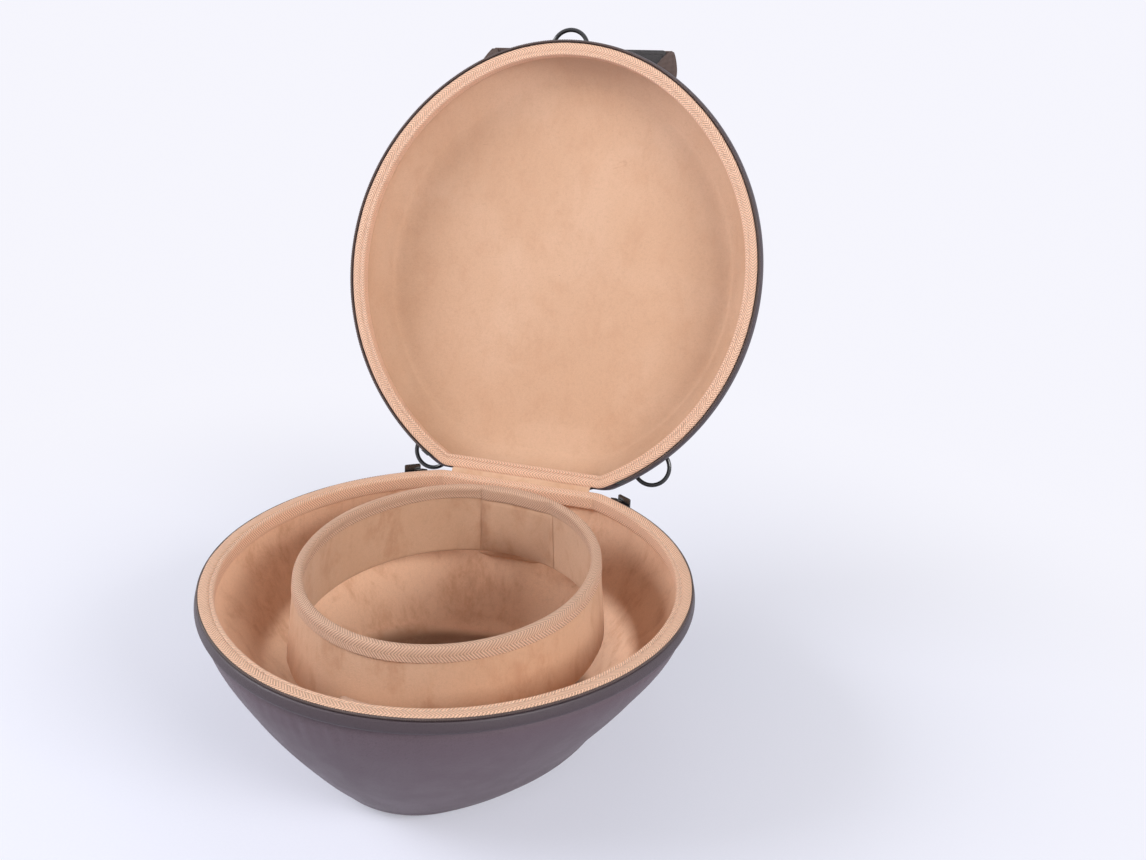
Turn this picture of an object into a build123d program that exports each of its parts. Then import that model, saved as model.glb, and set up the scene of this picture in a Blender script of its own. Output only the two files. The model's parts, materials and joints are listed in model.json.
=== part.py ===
"""Soft hat case: an oval moulded dish with a crown collar, and a shallow hinged lid with a zip rim."""

import os
from math import atan2, cos, degrees, pi, radians, sin, sqrt

from build123d import *

# Everything is in millimetres. X runs along the hinge, Y towards the hinge at the back, Z up from the
# surface that the case stands on. The lid is built closed and then turned open about the hinge line.

# Rim oval, measured on the tan edge tape; length and front tip follow the width
half_width = 165.0
length_share = 1.0933
tip_share = 0.893
hinge_setback = 13.1
corner_radius = 14.0

# Heights and the lid's place
rim_height = 128.0
lid_depth = 46.0
open_angle = 109.4

# Wall layers: outer skin, moulded foam board, lining
skin_thickness = 1.2
board_thickness = 3.8
lining_thickness = 1.0

# Flat stiffener that the case stands on, a little smaller than the bottom of the outer skin
base_panel_thickness = 1.2
base_panel_margin = 5.0

# Rim make-up, each distance measured from the parting plane or outwards from the tan edge
flange_reach = 3.0
flange_start = 3.6
flange_end = 14.0
flange_round = 2.4
neck_depth = 18.0
neck_inset = 0.6
binding_width = 9.5
binding_leg = 2.8
binding_thickness = 1.5
binding_start = 1.0
binding_drop = 12.0
binding_round = 1.1
tape_thickness = 0.9
tape_reach = 1.4
coil_size = 2.3
coil_start = 0.25
coil_reach = 2.65
layer_gap = 0.1
zip_end_gap = 7.5
zip_stop_length = 4.0

# Soft hinge
hinge_bead_radius = 1.6
hinge_strip_thickness = 1.2
hinge_strip_length = 112.0
hinge_strip_drop = 20.0
hinge_clearance = 0.3

# Sections down the dish wall, below the neck: share of the wall height, how far the side, front and
# back have moved in, the front tip radius as a part of the half width, the shift of the section's
# centre towards the back, and the radius at the two back corners
DISH_WALL = [
    (0.320, 20.0, 13.0, 7.0, 0.82, 2.0, 18.0),
    (0.655, 46.5, 37.5, 16.0, 0.71, 8.0, 26.0),
    (0.878, 63.5, 59.0, 23.0, 0.62, 14.0, 32.0),
    (0.962, 76.5, 69.0, 28.0, 0.58, 16.5, 34.0),
    (1.000, 91.0, 79.0, 36.0, 0.56, 18.0, 36.0),
]

# Sections up the lid wall in the same terms
LID_WALL = [
    (0.40, 5.5, 5.5, 5.0, 0.88, 0.0, 16.0),
    (0.72, 14.0, 14.0, 13.0, 0.86, 0.0, 20.0),
    (0.93, 26.0, 26.0, 25.0, 0.84, 0.0, 24.0),
    (1.00, 39.0, 39.0, 38.0, 0.82, 0.0, 28.0),
]

# Crown collar
collar_top_half_width = 101.0
collar_top_half_length = 125.7
collar_flare = 6.0
collar_height = 58.0
collar_rise = 11.0
collar_board_thickness = 3.5
collar_cover_thickness = 1.0
collar_tape_thickness = 0.8
collar_tape_height = 10.0
collar_tape_cap = 1.5
flap_from_x = -17.0
flap_to_x = 42.0
flap_thickness = 5.0
hook_strip_thickness = 0.9
hook_strip_margin = 12.0

# Foam seats that hold the collar off the sloping wall
seat_width = 56.0
seat_top_drop = 41.0
seat_ledge = 14.0
seat_overlap = 3.0

# Zip sliders and pullers
slider_rest_turn = 55.0
slider_length = 13.0
slider_plate = 1.2
slider_gap = 0.65
slider_jaw = 0.75
bail_width = 2.6
bail_reach = 2.9
bail_height = 4.4
pin_clearance = 0.08
puller_pin_radius = 0.85
puller_arm = 1.6
puller_width = 8.0
puller_length = 33.0
puller_thickness = 1.3
puller_neck = 7.0

# D-rings and their webbing tabs on the lid wall
ring_wire_radius = 1.75
ring_inner_width = 25.0
ring_corner_radius = 2.0
ring_level = 24.0
tab_width = 23.0
tab_thickness = 1.2
tab_half_height = 9.0
front_ring_turn = 4.7
left_ring_turn = 56.0
right_ring_turn = 49.8

# Carrying handle on the lid's front wall, turned with the front ring a little to the left
fitting_turn = 3.4
handle_half_width = 77.0
handle_band_width = 38.0
handle_overhang = 9.6
handle_level = 60.0
webbing_thickness = 2.4
handle_foot_inner = 64.0
handle_foot_outer = 84.0
handle_pivot_inset = 21.0
handle_pivot_level = 35.0
handle_bead_radius = 2.0
handle_socket_wall = 1.3
handle_slot_back = 57.0
handle_slot_front = 82.0
tongue_thickness = 3.0
anchor_margin = 3.0
anchor_half_height = 10.0
pad_thickness = 1.6
lining_sheet_thickness = 1.2
grip_left = 55.0
grip_right = 61.0
grip_edge = 1.5

half_length = half_width * length_share
front_tip_radius = half_width * tip_share
hinge_back = half_length - hinge_setback
handle_outer_reach = half_length + handle_overhang
dish_depth = rim_height - base_panel_thickness
wall_thickness = skin_thickness + board_thickness + lining_thickness
hinge_axis = Axis((0, hinge_back, rim_height), (1, 0, 0))
collar_thickness = collar_board_thickness + 2 * collar_cover_thickness
BIG = 600.0


class Oval:
    """The rim's oval: a front arc, two side arcs, two back corners and a straight hinge edge."""

    def __init__(self, half_x, front_y, back_y, tip, corner, shift=0.0):
        self.front_y = front_y
        self.shift = shift
        reach = front_y + shift
        self.tip = tip
        self.inset = (reach - half_x) * (reach + half_x - 2 * tip) / (2 * (half_x - tip))
        self.side = half_x + self.inset
        self.corner = corner
        self.back = back_y - shift
        self.turn_front = atan2(reach - tip, self.inset)
        self.tip_centre_y = tip - front_y
        self.corner_x = sqrt((self.side - corner) ** 2 - (self.back - corner) ** 2) - self.inset
        self.turn_back = atan2(self.back - corner, self.corner_x + self.inset)

    def side_point(self, turn):
        return (self.side * cos(turn) - self.inset, self.side * sin(turn) + self.shift)

    def corner_point(self, turn):
        x = self.corner_x + self.corner * cos(turn)
        return (x, self.back - self.corner + self.corner * sin(turn) + self.shift)

    def face(self):
        half = [
            self.side_point(-self.turn_front),
            self.side_point((self.turn_back - self.turn_front) / 2),
            self.side_point(self.turn_back),
            self.corner_point((self.turn_back + pi / 2) / 2),
            self.corner_point(pi / 2),
        ]
        other = [(-x, y) for x, y in half]
        edges = [
            ThreePointArc(other[0], (0, -self.front_y), half[0]),
            ThreePointArc(*half[0:3]),
            ThreePointArc(*half[2:5]),
            Line(half[4], other[4]),
            ThreePointArc(other[4], other[3], other[2]),
            ThreePointArc(other[2], other[1], other[0]),
        ]
        return Face(Wire(edges))


def rim_oval(grow, back_grow):
    """The rim oval moved outwards by grow, with its hinge edge moved by back_grow."""
    return Oval(half_width + grow, half_length + grow, hinge_back + back_grow,
                front_tip_radius + grow, corner_radius + max(grow, back_grow))


rim = rim_oval(0.0, 0.0)


def slab(oval, near, far, way):
    """A flat layer of the oval between two distances from the parting plane; way is 1 up, -1 down."""
    low = rim_height + min(way * near, way * far)
    return Pos(0, 0, low) * extrude(oval.face(), far - near)


def ring(outer, inner, near, far, way):
    extra = 1.0
    return slab(outer, near, far, way) - slab(inner, near - extra, far + extra, way)


def wall_oval(row, inset):
    """One wall section's oval, moved in by inset all round."""
    share, side, front, back, tip, shift, corner = row
    half_x = half_width - side
    return Oval(half_x - inset, half_length - front - inset, hinge_back - back - inset,
                tip * half_x - inset, corner - inset, shift)


def shell_form(wall, depth, skin, way, top):
    """The solid inside one layer of a half: lofted wall sections, and an upright neck to the rim."""
    inset = neck_inset + skin
    height = depth - neck_depth - skin
    neck = rim_oval(-inset, -inset)
    sections = [Pos(0, 0, rim_height + way * neck_depth) * neck.face()]
    for row in wall:
        level = rim_height + way * (neck_depth + row[0] * height)
        sections.append(Pos(0, 0, level) * wall_oval(row, inset).face())
    return loft(sections) + slab(neck, top, neck_depth, way)


def dish_form(skin, top=flange_start):
    return shell_form(DISH_WALL, dish_depth, skin, -1, top)


def lid_form(skin, top=flange_start):
    return shell_form(LID_WALL, lid_depth, skin, 1, top)


def opened(part):
    """A lid piece, built closed, turned to the open rest pose."""
    return part.rotate(hinge_axis, -open_angle)


def base_panel():
    """The stiffener under the dish: the bottom section of the wall, moved in by its margin."""
    oval = wall_oval(DISH_WALL[-1], neck_inset + base_panel_margin)
    return extrude(oval.face(), base_panel_thickness)


def flange(way):
    """The rounded bead under the rim; it is flush at the hinge."""
    bead = slab(rim_oval(flange_reach, -neck_inset), flange_start, flange_end, way)
    bead = fillet(bead.edges().filter_by(GeomType.CIRCLE), flange_round)
    return bead


def cover(form, way):
    outer = form(0.0) + flange(way)
    return outer - form(skin_thickness, 0.0)


def layer(form, start, thickness):
    return form(start) - form(start + thickness, 0.0)


def binding(way):
    """Edge tape folded over the rim: a flat top and a padded leg down the inside."""
    hinge_room = -hinge_bead_radius - hinge_clearance
    top = slab(rim_oval(0.0, hinge_room), binding_start, binding_drop, way)
    hollow = slab(rim_oval(-binding_width, hinge_room - binding_width), 0.0, binding_drop + 1, way)
    below = binding_start + binding_thickness
    under = ring(rim_oval(1.0, 1.0), rim_oval(-binding_width + binding_leg, -binding_width + binding_leg),
                 below, binding_drop + 1, way)
    body = top - hollow - under
    level = rim_height + way * binding_start
    return fillet(body.edges().filter_by(lambda edge: abs(edge.center().Z - level) < 0.01), binding_round)


def rear_block(depth_from_hinge):
    """Everything behind a line this far in front of the hinge."""
    return Pos(0, hinge_back - depth_from_hinge + BIG / 2, rim_height) * Box(BIG, BIG, BIG)


def zip_tape(way):
    near = binding_start + binding_thickness + layer_gap
    inner = -(neck_inset + wall_thickness)
    band = ring(rim_oval(tape_reach, 0.0), rim_oval(inner, inner), near, near + tape_thickness, way)
    return band - rear_block(max(zip_end_gap, layer_gap - inner))


def coil_band(way):
    return ring(rim_oval(coil_reach, 0.0), rim_oval(coil_reach - coil_size, 0.0),
                coil_start, coil_start + coil_size, way)


def zip_coil(way):
    return coil_band(way) - rear_block(zip_end_gap + zip_stop_length)


def zip_stops(way):
    gap = layer_gap
    piece = coil_band(way) - rear_block(zip_end_gap + gap)
    return piece & rear_block(zip_end_gap + zip_stop_length - gap)


def hinge_plate(way):
    """The flat part of the outer hinge strip on one half's back wall."""
    start = hinge_bead_radius + 2 * hinge_clearance if way > 0 else 0.0
    height = hinge_strip_drop - start
    front = hinge_back - neck_inset + layer_gap
    middle = rim_height + way * (start + height / 2)
    return Pos(0, front + hinge_strip_thickness / 2, middle) * Box(
        hinge_strip_length, hinge_strip_thickness, height)


def hinge_strip_dish():
    bead = Pos(0, hinge_back, rim_height) * Rot(0, 90, 0) * Cylinder(hinge_bead_radius, hinge_strip_length)
    return (hinge_plate(-1) + bead) - dish_form(-layer_gap / 2, 0.0)


def hinge_strip_lid():
    return hinge_plate(1) - lid_form(-layer_gap / 2, 0.0)


def hinge_strip_inner():
    """Plain lining strip that takes the place of the edge tape along the lid's hinge edge."""
    back = hinge_back - hinge_bead_radius - hinge_clearance
    thickness = flange_start - layer_gap - binding_start
    return Pos(0, back - binding_width / 2, rim_height + binding_start + thickness / 2) * Box(
        hinge_strip_length, binding_width, thickness)


def lid_binding():
    gap = Box(hinge_strip_length + 2 * hinge_clearance, 2 * binding_width + hinge_bead_radius, BIG)
    return binding(1) - Pos(0, hinge_back - hinge_bead_radius, rim_height) * gap


def collar_form(inset, low, high):
    """The conical collar's solid between two heights, moved in by inset."""
    faces = []
    for level in (low, high):
        drop = (rim_height + collar_rise - level) / collar_height
        half_x = collar_top_half_width + collar_flare * drop - inset
        half_y = collar_top_half_length + collar_flare * drop - inset
        faces.append(Pos(0, 0, level) * Ellipse(half_x, half_y).face())
    return loft(faces, ruled=True)


collar_top = rim_height + collar_rise
collar_foot = collar_top - collar_height


def collar_wall(outer, inner, low, high):
    return collar_form(outer, low, high) - collar_form(inner, low - 1, high + 1)


def collar_board():
    low = collar_foot + collar_cover_thickness
    return collar_wall(collar_cover_thickness, collar_cover_thickness + collar_board_thickness,
                       low, collar_top - collar_tape_cap - layer_gap)


def collar_cover():
    high = collar_top - collar_tape_cap - layer_gap
    sleeve = collar_wall(0.0, collar_thickness, collar_foot, high)
    pocket = collar_wall(collar_cover_thickness, collar_cover_thickness + collar_board_thickness,
                         collar_foot + collar_cover_thickness, high + 1)
    return sleeve - pocket


def collar_tape():
    cap = collar_wall(-collar_tape_thickness, collar_thickness + collar_tape_thickness,
                      collar_top - collar_tape_height, collar_top)
    slot = collar_wall(-layer_gap / 2, collar_thickness + layer_gap / 2,
                       collar_top - collar_tape_height - 1, collar_top - collar_tape_cap)
    return cap - slot


def back_window(low_x, high_x, low_z, high_z):
    width = high_x - low_x
    height = high_z - low_z
    return Pos((low_x + high_x) / 2, BIG / 2, (low_z + high_z) / 2) * Box(width, BIG, height)


flap_inset = collar_thickness + collar_tape_thickness + layer_gap


def collar_flap():
    """The end of the collar's band, lapped over its start on the inside at the back."""
    lap = collar_wall(flap_inset, flap_inset + flap_thickness, collar_foot + 1, collar_top)
    return lap & back_window(flap_from_x, flap_to_x, collar_foot - 1, collar_top + 1)


def collar_hook_strip():
    strip = collar_wall(collar_thickness + layer_gap / 2, flap_inset - layer_gap / 2,
                        collar_foot, collar_top)
    low = collar_foot + hook_strip_margin
    high = collar_top - collar_tape_height - 1
    return strip & back_window(flap_from_x + hook_strip_margin / 2, flap_to_x - hook_strip_margin / 2,
                               low, high)


def collar_seat(end):
    """A foam seat between the collar and the dish wall; end is -1 at the front and 1 at the back."""
    top = collar_top - seat_top_drop
    low = collar_foot - seat_ledge
    near = collar_top_half_length + collar_flare - seat_overlap
    block = Pos(0, end * (near + BIG / 2), (top + low) / 2) * Box(seat_width, BIG, top - low)
    block = block & dish_form(wall_thickness + layer_gap, 0.0)
    return block - collar_form(-layer_gap, collar_foot - layer_gap, collar_top)


def on_side(hand, turn, reach, level):
    """A frame on a side arc: X outwards, Y forwards round the rim, Z up; hand is 1 right, -1 left."""
    angle = degrees(turn) if hand > 0 else 180 - degrees(turn)
    centre = Pos(-hand * rim.inset, 0, rim_height + level)
    return centre * Rot(0, 0, angle) * Pos(rim.side + reach, 0, 0)


def box_between(x0, x1, y0, y1, z0, z1):
    return Pos((x0 + x1) / 2, (y0 + y1) / 2, (z0 + z1) / 2) * Box(x1 - x0, y1 - y0, z1 - z0)


slider_face = coil_reach + slider_gap
slider_low = -(flange_start - 0.15)
bail_level = -1.0
pin_reach = slider_face + slider_plate + bail_reach / 2


def slider_body(hand):
    """The slider: an outer plate over both coils, a jaw under the dish's coil, and a bail."""
    outer = slider_face + slider_plate
    half = slider_length / 2
    plate = box_between(slider_face, outer, -half, half, slider_low, -slider_low)
    plate = fillet(plate.edges().filter_by(Axis.X), 1.2)
    jaw = box_between(tape_reach + 0.2, outer, -half, half, slider_low, slider_low + slider_jaw)
    bail = box_between(outer - 0.2, outer + bail_reach, -bail_width / 2, bail_width / 2,
                       bail_level - bail_height / 2, bail_level + bail_height / 2)
    bore = Pos(pin_reach, 0, bail_level) * Rot(90, 0, 0) * Cylinder(
        puller_pin_radius + pin_clearance, 2 * bail_width)
    return on_side(hand, radians(slider_rest_turn), 0, 0) * (plate + jaw + bail - bore)


def puller(hand):
    half_pin = bail_width / 2 + 0.3 + puller_arm
    pin = Pos(pin_reach, 0, bail_level) * Rot(90, 0, 0) * Cylinder(puller_pin_radius, 2 * half_pin)
    thin = puller_thickness / 2
    inner = bail_width / 2 + 0.3
    body = pin
    for way in (1, -1):
        ends = sorted((way * inner, way * half_pin))
        body += box_between(pin_reach - thin, pin_reach + thin, ends[0], ends[1],
                            bail_level - puller_neck, bail_level)
    half = puller_width / 2
    plate = box_between(pin_reach - thin, pin_reach + thin, -half, half,
                        bail_level - puller_length, bail_level - puller_neck + puller_arm)
    plate = fillet(plate.edges().filter_by(Axis.X), puller_arm)
    slot = box_between(pin_reach - 2, pin_reach + 2, -inner, inner,
                       bail_level - puller_neck + 0.2, bail_level + 3)
    return on_side(hand, radians(slider_rest_turn), 0, 0) * (body + (plate - slot))


def lid_wall_inset(level):
    """How far the lid's outer wall has moved in at a height above the parting plane."""
    share = (level - neck_depth) / (lid_depth - neck_depth)
    start, moved = 0.0, 0.0
    for row in LID_WALL:
        if share <= row[0]:
            break
        start, moved = row[0], row[2]
    return neck_inset + moved + (share - start) / (row[0] - start) * (row[2] - moved)


ring_bar_reach = -lid_wall_inset(ring_level) + tab_thickness + 2 * layer_gap + ring_wire_radius
ring_arc_radius = ring_inner_width / 2 + ring_wire_radius


def ring_frame(place):
    """A frame at a ring's bar, closed lid: X out of the wall, Y along the bar, Z up."""
    if place == "front":
        centre = Pos(0, rim.tip_centre_y, rim_height + ring_level)
        return centre * Rot(0, 0, -90 - front_ring_turn) * Pos(rim.tip + ring_bar_reach, 0, 0)
    if place == "left":
        return on_side(-1, radians(left_ring_turn), ring_bar_reach, ring_level)
    return on_side(1, radians(right_ring_turn), ring_bar_reach, ring_level)


def d_ring(place):
    """Bent wire: a straight bar, two tight corners and a half round."""
    radius = ring_arc_radius
    corner = ring_corner_radius
    edge = radius - corner
    turn = corner * (1 - cos(pi / 4))
    path = Wire([
        Line((0, -edge), (0, edge)),
        ThreePointArc((0, edge), (turn, radius - turn), (corner, radius)),
        ThreePointArc((corner, radius), (corner + radius, 0), (corner, -radius)),
        ThreePointArc((corner, -radius), (turn, turn - radius), (0, -edge)),
    ])
    section = Plane((0, 0, 0), x_dir=(1, 0, 0), z_dir=(0, 1, 0)) * Circle(ring_wire_radius)
    return ring_frame(place) * sweep(section, path)


def ring_tab(place):
    """Webbing sewn to the lid wall and looped round the ring's bar."""
    frame = ring_frame(place)
    reach = 4 * tab_half_height
    patch = frame * box_between(-reach, reach, -tab_width / 2, tab_width / 2,
                                -tab_half_height, tab_half_height)
    patch = patch & lid_form(-tab_thickness - layer_gap, 0.0)
    loop = frame * (Rot(90, 0, 0) * Cylinder(ring_wire_radius + pin_clearance + tab_thickness, tab_width))
    bore = frame * (Rot(90, 0, 0) * Cylinder(ring_wire_radius + pin_clearance, 2 * tab_width))
    return patch + loop - bore - lid_form(-layer_gap, 0.0)


fitting_frame = Rot(0, 0, -fitting_turn) * Pos(0, 0, rim_height)
handle_pivot_y = handle_pivot_inset - half_length


def mirrored(points):
    return points + [(-x, y) for x, y in reversed(points)]


def handle_webbing():
    """The strap: a flat band with splayed ends, and two legs down to the sewn beads."""
    inner_y = handle_band_width - handle_outer_reach
    foot_y = handle_pivot_y + webbing_thickness
    right = [(handle_half_width, -handle_outer_reach), (handle_foot_outer, handle_pivot_y - webbing_thickness),
             (handle_foot_outer, foot_y), (handle_foot_inner, foot_y), (handle_foot_inner - 4, inner_y)]
    band = Face(Wire.make_polygon(mirrored(right)))
    body = Pos(0, 0, handle_level) * extrude(band, webbing_thickness)
    width = handle_foot_outer - handle_foot_inner
    for hand in (1, -1):
        middle = hand * (handle_foot_inner + width / 2)
        low, high = handle_pivot_level, handle_level + webbing_thickness
        body += box_between(middle - width / 2, middle + width / 2, handle_pivot_y - webbing_thickness / 2,
                            handle_pivot_y + webbing_thickness / 2, low, high)
        body += Pos(middle, handle_pivot_y, low) * Rot(0, 90, 0) * Cylinder(handle_bead_radius, width)
    return fitting_frame * body


def grip_sheet(low, thickness, edge):
    x0, x1 = edge - grip_left, grip_right - edge
    y0, y1 = edge - handle_outer_reach, handle_band_width - handle_outer_reach - edge
    sheet = box_between(x0, x1, y0, y1, low, low + thickness)
    return fitting_frame * fillet(sheet.edges().filter_by(Axis.Z), 3.0)


def handle_pad():
    return grip_sheet(handle_level - pad_thickness, pad_thickness, 2 * grip_edge)


def handle_lining():
    return grip_sheet(handle_level - pad_thickness - lining_sheet_thickness, lining_sheet_thickness, grip_edge)


def handle_anchor(hand):
    """A sewn patch on the lid's front wall with a tongue and an open socket for the handle's bead."""
    socket_radius = handle_bead_radius + pin_clearance + handle_socket_wall
    width = handle_foot_outer - handle_foot_inner - 2 * anchor_margin
    middle = hand * (handle_foot_inner + handle_foot_outer) / 2
    place = Pos(middle, handle_pivot_y, handle_pivot_level)
    socket = place * Rot(0, 90, 0) * Cylinder(socket_radius, width)
    bore = place * Rot(0, 90, 0) * Cylinder(handle_bead_radius + pin_clearance, 2 * width)
    far = 4 * socket_radius
    back, front = radians(handle_slot_back), radians(handle_slot_front)
    wedge = [(0, 0), (far * sin(back), far * cos(back)), (0, far), (-far * sin(front), far * cos(front))]
    slot = extrude(Face(Wire.make_polygon([(0, y, z) for y, z in wedge])), width, both=True)
    if slot.volume < 0:
        slot = -slot
    tongue = box_between(middle - width / 2, middle + width / 2, handle_pivot_y, 0,
                         handle_pivot_level - tongue_thickness / 2, handle_pivot_level + tongue_thickness / 2)
    patch = box_between(middle - width / 2 - anchor_margin, middle + width / 2 + anchor_margin,
                        handle_pivot_y, 0, handle_pivot_level - anchor_half_height,
                        handle_pivot_level + anchor_half_height)
    patch = (fitting_frame * patch) & lid_form(-tab_thickness - layer_gap, 0.0)
    arm = fitting_frame * ((socket + tongue) - bore - place * slot)
    return patch + arm - lid_form(-layer_gap, 0.0)


def check_one(name, part, count=1):
    """Each node holds the number of solids that it should."""
    solids = part.solids()
    if len(solids) != count:
        raise ValueError(f"{name} has {len(solids)} solids, not {count}")
    return part


def all_parts():
    dish_start = skin_thickness + board_thickness
    parts = {
        "base_panel": base_panel(),
        "dish_cover": cover(dish_form, -1),
        "dish_shell": layer(dish_form, skin_thickness, board_thickness),
        "dish_lining": layer(dish_form, dish_start, lining_thickness),
        "dish_binding": binding(-1),
        "dish_zip_tape": zip_tape(-1),
        "dish_zip_coil": zip_coil(-1),
        "hinge_strip_dish": hinge_strip_dish(),
        "collar_board": collar_board(),
        "collar_cover": collar_cover(),
        "collar_tape": collar_tape(),
        "collar_flap": collar_flap(),
        "collar_hook_strip": collar_hook_strip(),
        "collar_seat_front": collar_seat(-1),
        "collar_seat_back": collar_seat(1),
        "left_slider": slider_body(-1),
        "right_slider": slider_body(1),
        "left_puller": puller(-1),
        "right_puller": puller(1),
    }
    lid_parts = {
        "lid_cover": cover(lid_form, 1),
        "lid_shell": layer(lid_form, skin_thickness, board_thickness),
        "lid_lining": layer(lid_form, dish_start, lining_thickness),
        "lid_binding": lid_binding(),
        "lid_zip_tape": zip_tape(1),
        "lid_zip_coil": zip_coil(1),
        "hinge_strip_lid": hinge_strip_lid(),
        "hinge_strip_inner": hinge_strip_inner(),
        "handle_webbing": handle_webbing(),
        "handle_pad": handle_pad(),
        "handle_lining": handle_lining(),
        "left_handle_anchor": handle_anchor(-1),
        "right_handle_anchor": handle_anchor(1),
    }
    for place in ("front", "left", "right"):
        lid_parts[f"{place}_ring_tab"] = ring_tab(place)
        lid_parts[f"{place}_d_ring"] = d_ring(place)
    for name, part in lid_parts.items():
        parts[name] = opened(part)
    for name, part in parts.items():
        check_one(name, part)
    parts["dish_zip_stops"] = check_one("dish_zip_stops", zip_stops(-1), 2)
    parts["lid_zip_stops"] = check_one("lid_zip_stops", opened(zip_stops(1)), 2)
    return parts


os.makedirs("parts", exist_ok=True)
for node, part in all_parts().items():
    export_step(part, f"parts/{node}.step")
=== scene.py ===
"""Looks of an open oval hat case, laid out as an add-on: skins, suede, edge tapes, zip, collar, strap."""

import json
from math import atan2, cos, pi, radians, sin, sqrt

import bpy
import numpy as np
from bpy.props import FloatProperty, FloatVectorProperty, PointerProperty
from bpy.types import Operator, Panel, PropertyGroup
from mathutils import Matrix, Vector


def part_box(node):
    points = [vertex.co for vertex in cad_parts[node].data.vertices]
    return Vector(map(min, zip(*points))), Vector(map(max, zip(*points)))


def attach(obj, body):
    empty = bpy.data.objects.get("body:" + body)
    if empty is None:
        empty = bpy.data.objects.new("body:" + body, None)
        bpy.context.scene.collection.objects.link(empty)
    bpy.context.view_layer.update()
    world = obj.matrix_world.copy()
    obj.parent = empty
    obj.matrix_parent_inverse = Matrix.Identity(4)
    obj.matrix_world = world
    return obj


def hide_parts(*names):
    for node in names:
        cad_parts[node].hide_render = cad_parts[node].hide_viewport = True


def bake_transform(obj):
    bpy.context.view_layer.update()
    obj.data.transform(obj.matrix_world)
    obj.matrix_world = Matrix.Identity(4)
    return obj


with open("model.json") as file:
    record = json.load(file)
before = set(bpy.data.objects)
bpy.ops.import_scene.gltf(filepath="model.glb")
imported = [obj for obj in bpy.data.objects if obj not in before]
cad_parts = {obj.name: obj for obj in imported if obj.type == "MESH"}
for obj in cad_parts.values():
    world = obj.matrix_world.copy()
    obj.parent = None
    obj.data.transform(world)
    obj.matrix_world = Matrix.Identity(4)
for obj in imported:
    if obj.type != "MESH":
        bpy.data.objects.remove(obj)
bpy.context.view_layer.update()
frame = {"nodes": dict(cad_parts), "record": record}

bl_info = {
    "name": "Oval hat case",
    "version": (1, 0, 0),
    "blender": (4, 5, 0),
    "location": "3D View > Sidebar > Hat case",
    "description": "Dresses the packed hat case with its soft skins, linings, tapes, zip and strap",
    "category": "Object",
}

MM = 0.001

# Driving places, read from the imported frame
JOINTS = {joint["name"]: joint for joint in frame["record"]["behaviour"]["joints"]}
HINGE_BACK = JOINTS["lid_hinge"]["pos_m"][1]
RIM_HEIGHT = JOINTS["lid_hinge"]["pos_m"][2]
OPEN_ANGLE = radians(max(JOINTS["lid_hinge"]["range_deg"]))
HALF_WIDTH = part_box("dish_binding")[1].x
HALF_LENGTH = -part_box("dish_binding")[0].y
BASE_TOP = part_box("base_panel")[1].z
HINGE_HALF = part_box("hinge_strip_dish")[1].x
TIP_RADIUS = 0.893 * HALF_WIDTH
CORNER_RADIUS = 14 * MM
HINGE_ROOM = 1.9 * MM

# Wall make-up of both halves; NECK_SLOPE is the share of the wall's slope kept where it leaves the neck
LID_DEPTH = 46 * MM
DISH_DEPTH = RIM_HEIGHT - BASE_TOP
NECK_DEPTH = 18 * MM
NECK_INSET = 0.6 * MM
NECK_SLOPE = 0.35
LINING_INSET = 6.0 * MM

# Wall sections: share of the height below the neck, how far the side, front and back move in (mm),
# tip radius by half width, shift of the centre (mm), back corner radius (mm)
DISH_WALL = [
    (0.000, 0.0, 0.0, 0.0, 0.893, 0.0, 14.0),
    (0.320, 20.0, 13.0, 7.0, 0.82, 2.0, 18.0),
    (0.655, 46.5, 37.5, 16.0, 0.71, 8.0, 26.0),
    (0.878, 63.5, 59.0, 23.0, 0.62, 14.0, 32.0),
    (0.962, 76.5, 69.0, 28.0, 0.58, 16.5, 34.0),
    (1.000, 91.0, 79.0, 36.0, 0.56, 18.0, 36.0),
]
LID_WALL = [
    (0.00, 0.0, 0.0, 0.0, 0.893, 0.0, 14.0),
    (0.40, 5.5, 5.5, 5.0, 0.88, 0.0, 16.0),
    (0.72, 14.0, 14.0, 13.0, 0.86, 0.0, 20.0),
    (0.93, 26.0, 26.0, 25.0, 0.84, 0.0, 24.0),
    (1.00, 39.0, 39.0, 38.0, 0.82, 0.0, 28.0),
]


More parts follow.
